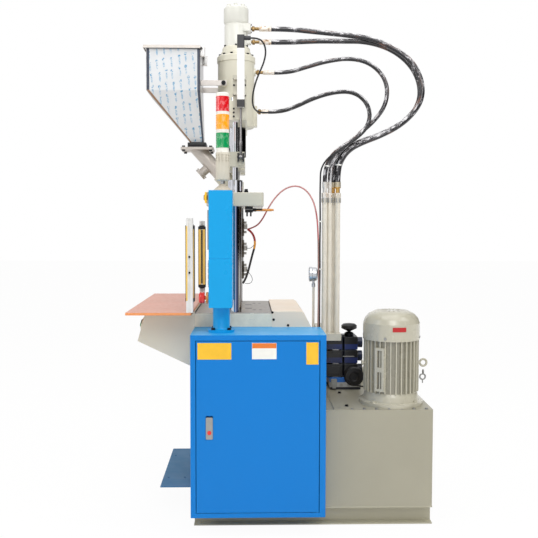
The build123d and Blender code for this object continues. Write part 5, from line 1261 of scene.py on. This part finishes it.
class MACHINE_OT_motor_trim(bpy.types.Operator):
    """Plate, liner, painted shade in the pad slots, eyes and screws of the pump motor"""
    bl_idname = "machine.motor_trim"
    bl_label = "Pump motor trim"

    def execute(self, context):
        cx, cy = MOTOR_AXIS
        radius, half_thick, steps = 133.6, 0.6, 8
        plate_start, plate_sweep, pad_turn = -98, 27.5, -124

        def bent_plate(work):
            angles = [math.radians(plate_start + plate_sweep * i / steps)
                      for i in range(steps + 1)]
            low_in, high_in, low_out, high_out = [
                [work.verts.new((cx + r * math.cos(a), cy + r * math.sin(a), z)) for a in angles]
                for r in (radius - half_thick, radius + half_thick) for z in (882, 903)]
            for i in range(steps):
                for a, b in ((low_out, high_out), (high_in, low_in), (low_in, low_out),
                             (high_out, high_in)):
                    work.faces.new((a[i], a[i + 1], b[i + 1], b[i]))
            for i in (0, steps):
                work.faces.new((low_in[i], low_out[i], high_out[i], high_in[i]))

        built("cowl_plate", bent_plate, "plate red", "machine")
        shape("cowl_liner", "motor enamel", "machine",
              turned=[([(0, 0), (74, 0), (74, 0.5), (0, 0.5)], (cx, cy, 966.9))])
        rings = []
        for centre, large, small, axis in (((893, cy, 652), 13, 3.6, (0, 1, 0)),
                                           ((895, cy, 676), 9, 2.8, RIGHT)):
            round_bar = [(large + small * math.cos(math.radians(t)),
                          small * math.sin(math.radians(t))) for t in range(0, 361, 30)]
            rings.append((round_bar, centre, axis, 32))
        rings.append(([(0, 0), (2.6, 0), (2.6, 14), (0, 14)], (893, cy, 622), UP, 12))
        shape("eye_ring", "dull zinc", "machine", turned=rings)

        # Painted shade: thin dark plates in the pad's two slots stand in for the shade inside
        # them.
        def recess_shade_of(work):
            turn = Matrix.Rotation(math.radians(pad_turn), 3, "Z")
            for z0 in (617, 717):
                for vert in block_into(work, 128.1, 129.0, -10.4, 10.4, z0, z0 + 76):
                    vert.co = turn @ vert.co + Vector((cx, cy, 0))

        built("pad_recess_shade", recess_shade_of, "recess grey", "machine", 0.3)
        screws = [(spot, spot - Vector((cx, cy, 850)))
                  for spot in circle(4, 132.5, MOTOR_AXIS, 850, -112.5)]
        fasteners("cowl_screws", screws, "machine", (5.0, 3.5, 6, 7.0, 1.0), "dull zinc")
        return {"FINISHED"}


class MACHINE_OT_drive_trim(bpy.types.Operator):
    """Covers and screws of the valves, the tank and the pipes"""
    bl_idname = "machine.drive_trim"
    bl_label = "Drive trim"

    def execute(self, context):
        shape("tank_wing", "tank enamel", "machine",
              [(408, 474, -468.3, -150, 83.4, 524), (406, 474, -468.9, -148, 524.2, 530.4)],
              bevel=0.8)
        covers = []
        for z in (628, 698, 768):
            covers += [(461, 544, -19, 26, z - 31, z + 32), (470, 536, -22, -18, z - 20, z + 22),
                       (556, 624, -20, 26, z - 31, z + 32)]
        covers.append((545, 556, -12, 26, 600, 812))
        shape("valve_covers", "valve cover", "machine", covers, bevel=1.6)
        shape("valve_drum", "black plastic", "machine",
              turned=[([(0, 0), (46, 0), (50, 4), (50, 20), (44, 26), (24, 28), (20, 24),
                        (0, 24)], (604, -14, 600), FRONT)])
        plate("valve_seam", (547, 606, -21.4, -20.2, 699.5, 703.5), "dull zinc", "machine",
              0.3)
        shape("valve_plug", "grey plastic", "machine",
              [(486, 516, -44, -19, 548, 586), (492, 510, -46, -44, 540, 566)], bevel=1.0)
        fasteners("tank_plate_bolts", aimed(UP, [(518, y, 535) for y in (-410, -130)]),
                  "machine", (7.0, 6.0, 6, 10.0, 1.5))
        manifold = [(x, -20, 553) for x in (500, 540, 580, 620)]
        lid = [(480 + 57 * i, y, 530) for i in range(8) for y in (-452, 452)]
        nuts, ends = [[(x, y, z) for x, y in PIPE_ENDS] for z in (1481, 1506)]
        for name, direction, spots, size, finish, slot in (
                ("manifold_bolts", FRONT, manifold, (7.0, 6.0, 6, 9.0, 1.5), "dull zinc", "steel"),
                ("pipe_nuts", UP, nuts, (15.6, 20.0, 6, 14.3, 1.0), "dull zinc", "steel"),
                ("pipe_end_nuts", UP, ends, (15.2, 20.0, 6, 14.2, 1.0), "plated sleeve", "brass"),
                ("tank_lid_bolts", UP, lid, (6.5, 5.0, 6, 9.0, 1.2), "dull zinc", "steel")):
            fasteners(name, aimed(direction, spots), "machine", size, finish)
        return {"FINISHED"}


# Studio: camera in metres and radians, and how bright the floor and the sky are

CAMERA_PLACE = (0.0671, -3.8566, 1.3439)
CAMERA_PITCH = 0.0504
CAMERA_YAW = 0.0261
CAMERA_ROLL = 0.0021
FOCAL_PIXELS = 754.61
IMAGE_PIXELS = 538
FLOOR_HALF = 30.0
FLOOR_COLOUR = (0.95, 0.95, 0.95, 1)
FLOOR_GLOW = 0.95
SKY_COLOUR = (1.0, 0.985, 0.96, 1)
SKY_STRENGTH = 0.72
WHITE = (1, 1, 1, 1)

# What bright metal sees from left to right: place and brightness

ROOM = [(0.0, 0.8), (0.17, 0.85), (0.2, 0.12), (0.24, 0.12), (0.28, 0.95), (0.5, 1.0),
        (0.67, 0.9), (0.74, 0.35), (0.79, 0.02), (1.0, 0.02)]

# Lamps: name, place, aim, size and power

LAMPS = [("front_lamp", (0.5, -4.2, 4.3), (0.2, -0.3, 1.0), 2.2, 72),
         ("right_lamp", (3.4, -1.8, 4.4), (0.4, -0.1, 1.0), 2.0, 36),
         ("left_lamp", (-3.8, -1.4, 3.4), (0.0, 0.0, 1.0), 2.0, 36),
         ("top_lamp", (0.3, -0.4, 5.0), (0.3, 0.0, 0.8), 3.2, 42)]


def mixed(tree, factor, first, second):
    """A mix of two shaders."""
    return node(tree, "ShaderNodeMixShader", {"Fac": factor, 1: first, 2: second}).outputs[0]


class MACHINE_OT_studio(bpy.types.Operator):
    """Pale floor, soft lamps and the camera"""
    bl_idname = "machine.studio"
    bl_label = "Studio"

    def execute(self, context):
        scene = context.scene
        self.make_floor(scene)
        self.make_world(scene)
        self.make_lamps(scene)
        self.make_camera(scene)
        scene.view_settings.view_transform = "Standard"
        return {"FINISHED"}

    def make_floor(self, scene):
        mesh = bpy.data.meshes.new("floor")
        mesh.from_pydata([(x * FLOOR_HALF, y * FLOOR_HALF, 0)
                          for x, y in ((-1, -1), (1, -1), (1, 1), (-1, 1))], [], [(0, 1, 2, 3)])
        material = bpy.data.materials.new("studio floor")
        material.use_nodes = True
        tree = material.node_tree
        tree.nodes.clear()
        matt = node(tree, "ShaderNodeBsdfDiffuse", {"Color": FLOOR_COLOUR})
        glow = node(tree, "ShaderNodeEmission", {"Color": WHITE})
        path = node(tree, "ShaderNodeLightPath").outputs
        seen = calculate(tree, "MAXIMUM", path["Is Camera Ray"], path["Is Glossy Ray"])
        node(tree, "ShaderNodeOutputMaterial",
             {"Surface": mixed(tree, calculate(tree, "MULTIPLY", seen, FLOOR_GLOW),
                               matt.outputs[0], glow.outputs[0])})
        mesh.materials.append(material)
        floor = bpy.data.objects.new("floor", mesh)
        scene.collection.objects.link(floor)

    def make_world(self, scene):
        world = bpy.data.worlds.new("studio world")
        scene.world = world
        world.use_nodes = True
        tree = world.node_tree
        tree.nodes.clear()

        def light(colour, strength=1.0):
            return node(tree, "ShaderNodeBackground",
                        {"Color": colour, "Strength": strength}).outputs[0]

        path = node(tree, "ShaderNodeLightPath").outputs
        around = node(tree, "ShaderNodeTexCoord").outputs["Generated"]
        along = span(tree, split(tree, around)["X"], 0, 1, -1, 1)
        room = ramp(tree, along, [(spot, (level, level, level * 1.02)) for spot, level in ROOM])
        rest = mixed(tree, path["Is Glossy Ray"], light(SKY_COLOUR, SKY_STRENGTH),
                     light(room))
        node(tree, "ShaderNodeOutputWorld",
             {"Surface": mixed(tree, path["Is Camera Ray"], rest, light(WHITE))})

    def make_lamps(self, scene):
        for name, spot, target, size, power in LAMPS:
            light = bpy.data.lights.new(name, "AREA")
            light.shape = "SQUARE"
            light.size = size
            light.energy = power
            lamp = bpy.data.objects.new(name, light)
            scene.collection.objects.link(lamp)
            lamp.location = spot
            aim = Vector(target) - Vector(spot)
            lamp.rotation_euler = aim.to_track_quat("-Z", "Y").to_euler()

    def make_camera(self, scene):
        data = bpy.data.cameras.new("camera")
        data.sensor_width = 36.0
        data.lens = FOCAL_PIXELS / IMAGE_PIXELS * data.sensor_width
        data.clip_end = 60.0
        camera = bpy.data.objects.new("camera", data)
        scene.collection.objects.link(camera)
        ahead = Vector((math.sin(CAMERA_YAW) * math.cos(CAMERA_PITCH),
                        math.cos(CAMERA_YAW) * math.cos(CAMERA_PITCH), -math.sin(CAMERA_PITCH)))
        right = Vector((math.cos(CAMERA_YAW), -math.sin(CAMERA_YAW), 0))
        up = right.cross(ahead)
        roll = Matrix.Rotation(-CAMERA_ROLL, 3, ahead)
        right, up = roll @ right, roll @ up
        turn = Matrix((right, up, -ahead)).transposed().to_4x4()
        camera.matrix_world = Matrix.Translation(CAMERA_PLACE) @ turn
        scene.camera = camera


class MACHINE_PT_panel(bpy.types.Panel):
    """Colours, sizes and steps of the machine"""
    bl_label = "Injection moulding machine"
    bl_idname = "MACHINE_PT_panel"
    bl_space_type = "VIEW_3D"
    bl_region_type = "UI"
    bl_category = "Machine"

    def draw(self, context):
        layout = self.layout
        for group in (context.scene.machine_colours, context.scene.machine_sizes):
            box = layout.box()
            for key in group.__annotations__:
                box.prop(group, key)
        for step in STEPS:
            layout.operator(step.bl_idname)


STEPS = [MACHINE_OT_studio, MACHINE_OT_cords, MACHINE_OT_castings, MACHINE_OT_hopper_trim,
         MACHINE_OT_injection_trim, MACHINE_OT_tower_light, MACHINE_OT_console_trim,
         MACHINE_OT_guards, MACHINE_OT_cabinet_trim, MACHINE_OT_platen_trim,
         MACHINE_OT_motor_trim, MACHINE_OT_drive_trim]
CLASSES = [MachineColours, MachineSizes, *STEPS, MACHINE_PT_panel]


def register():
    for item in CLASSES:
        bpy.utils.register_class(item)
    bpy.types.Scene.machine_colours = bpy.props.PointerProperty(type=MachineColours)
    bpy.types.Scene.machine_sizes = bpy.props.PointerProperty(type=MachineSizes)


def unregister():
    del bpy.types.Scene.machine_sizes
    del bpy.types.Scene.machine_colours
    for item in reversed(CLASSES):
        bpy.utils.unregister_class(item)


def main():
    register()
    make_finishes(bpy.context.scene.machine_colours)
    make_fastener_tree()
    make_ribbed_tree()
    for step in STEPS:
        group, action = step.bl_idname.split(".")
        getattr(getattr(bpy.ops, group), action)()
    bpy.context.view_layer.update()


if __name__ == "__main__":
    main()
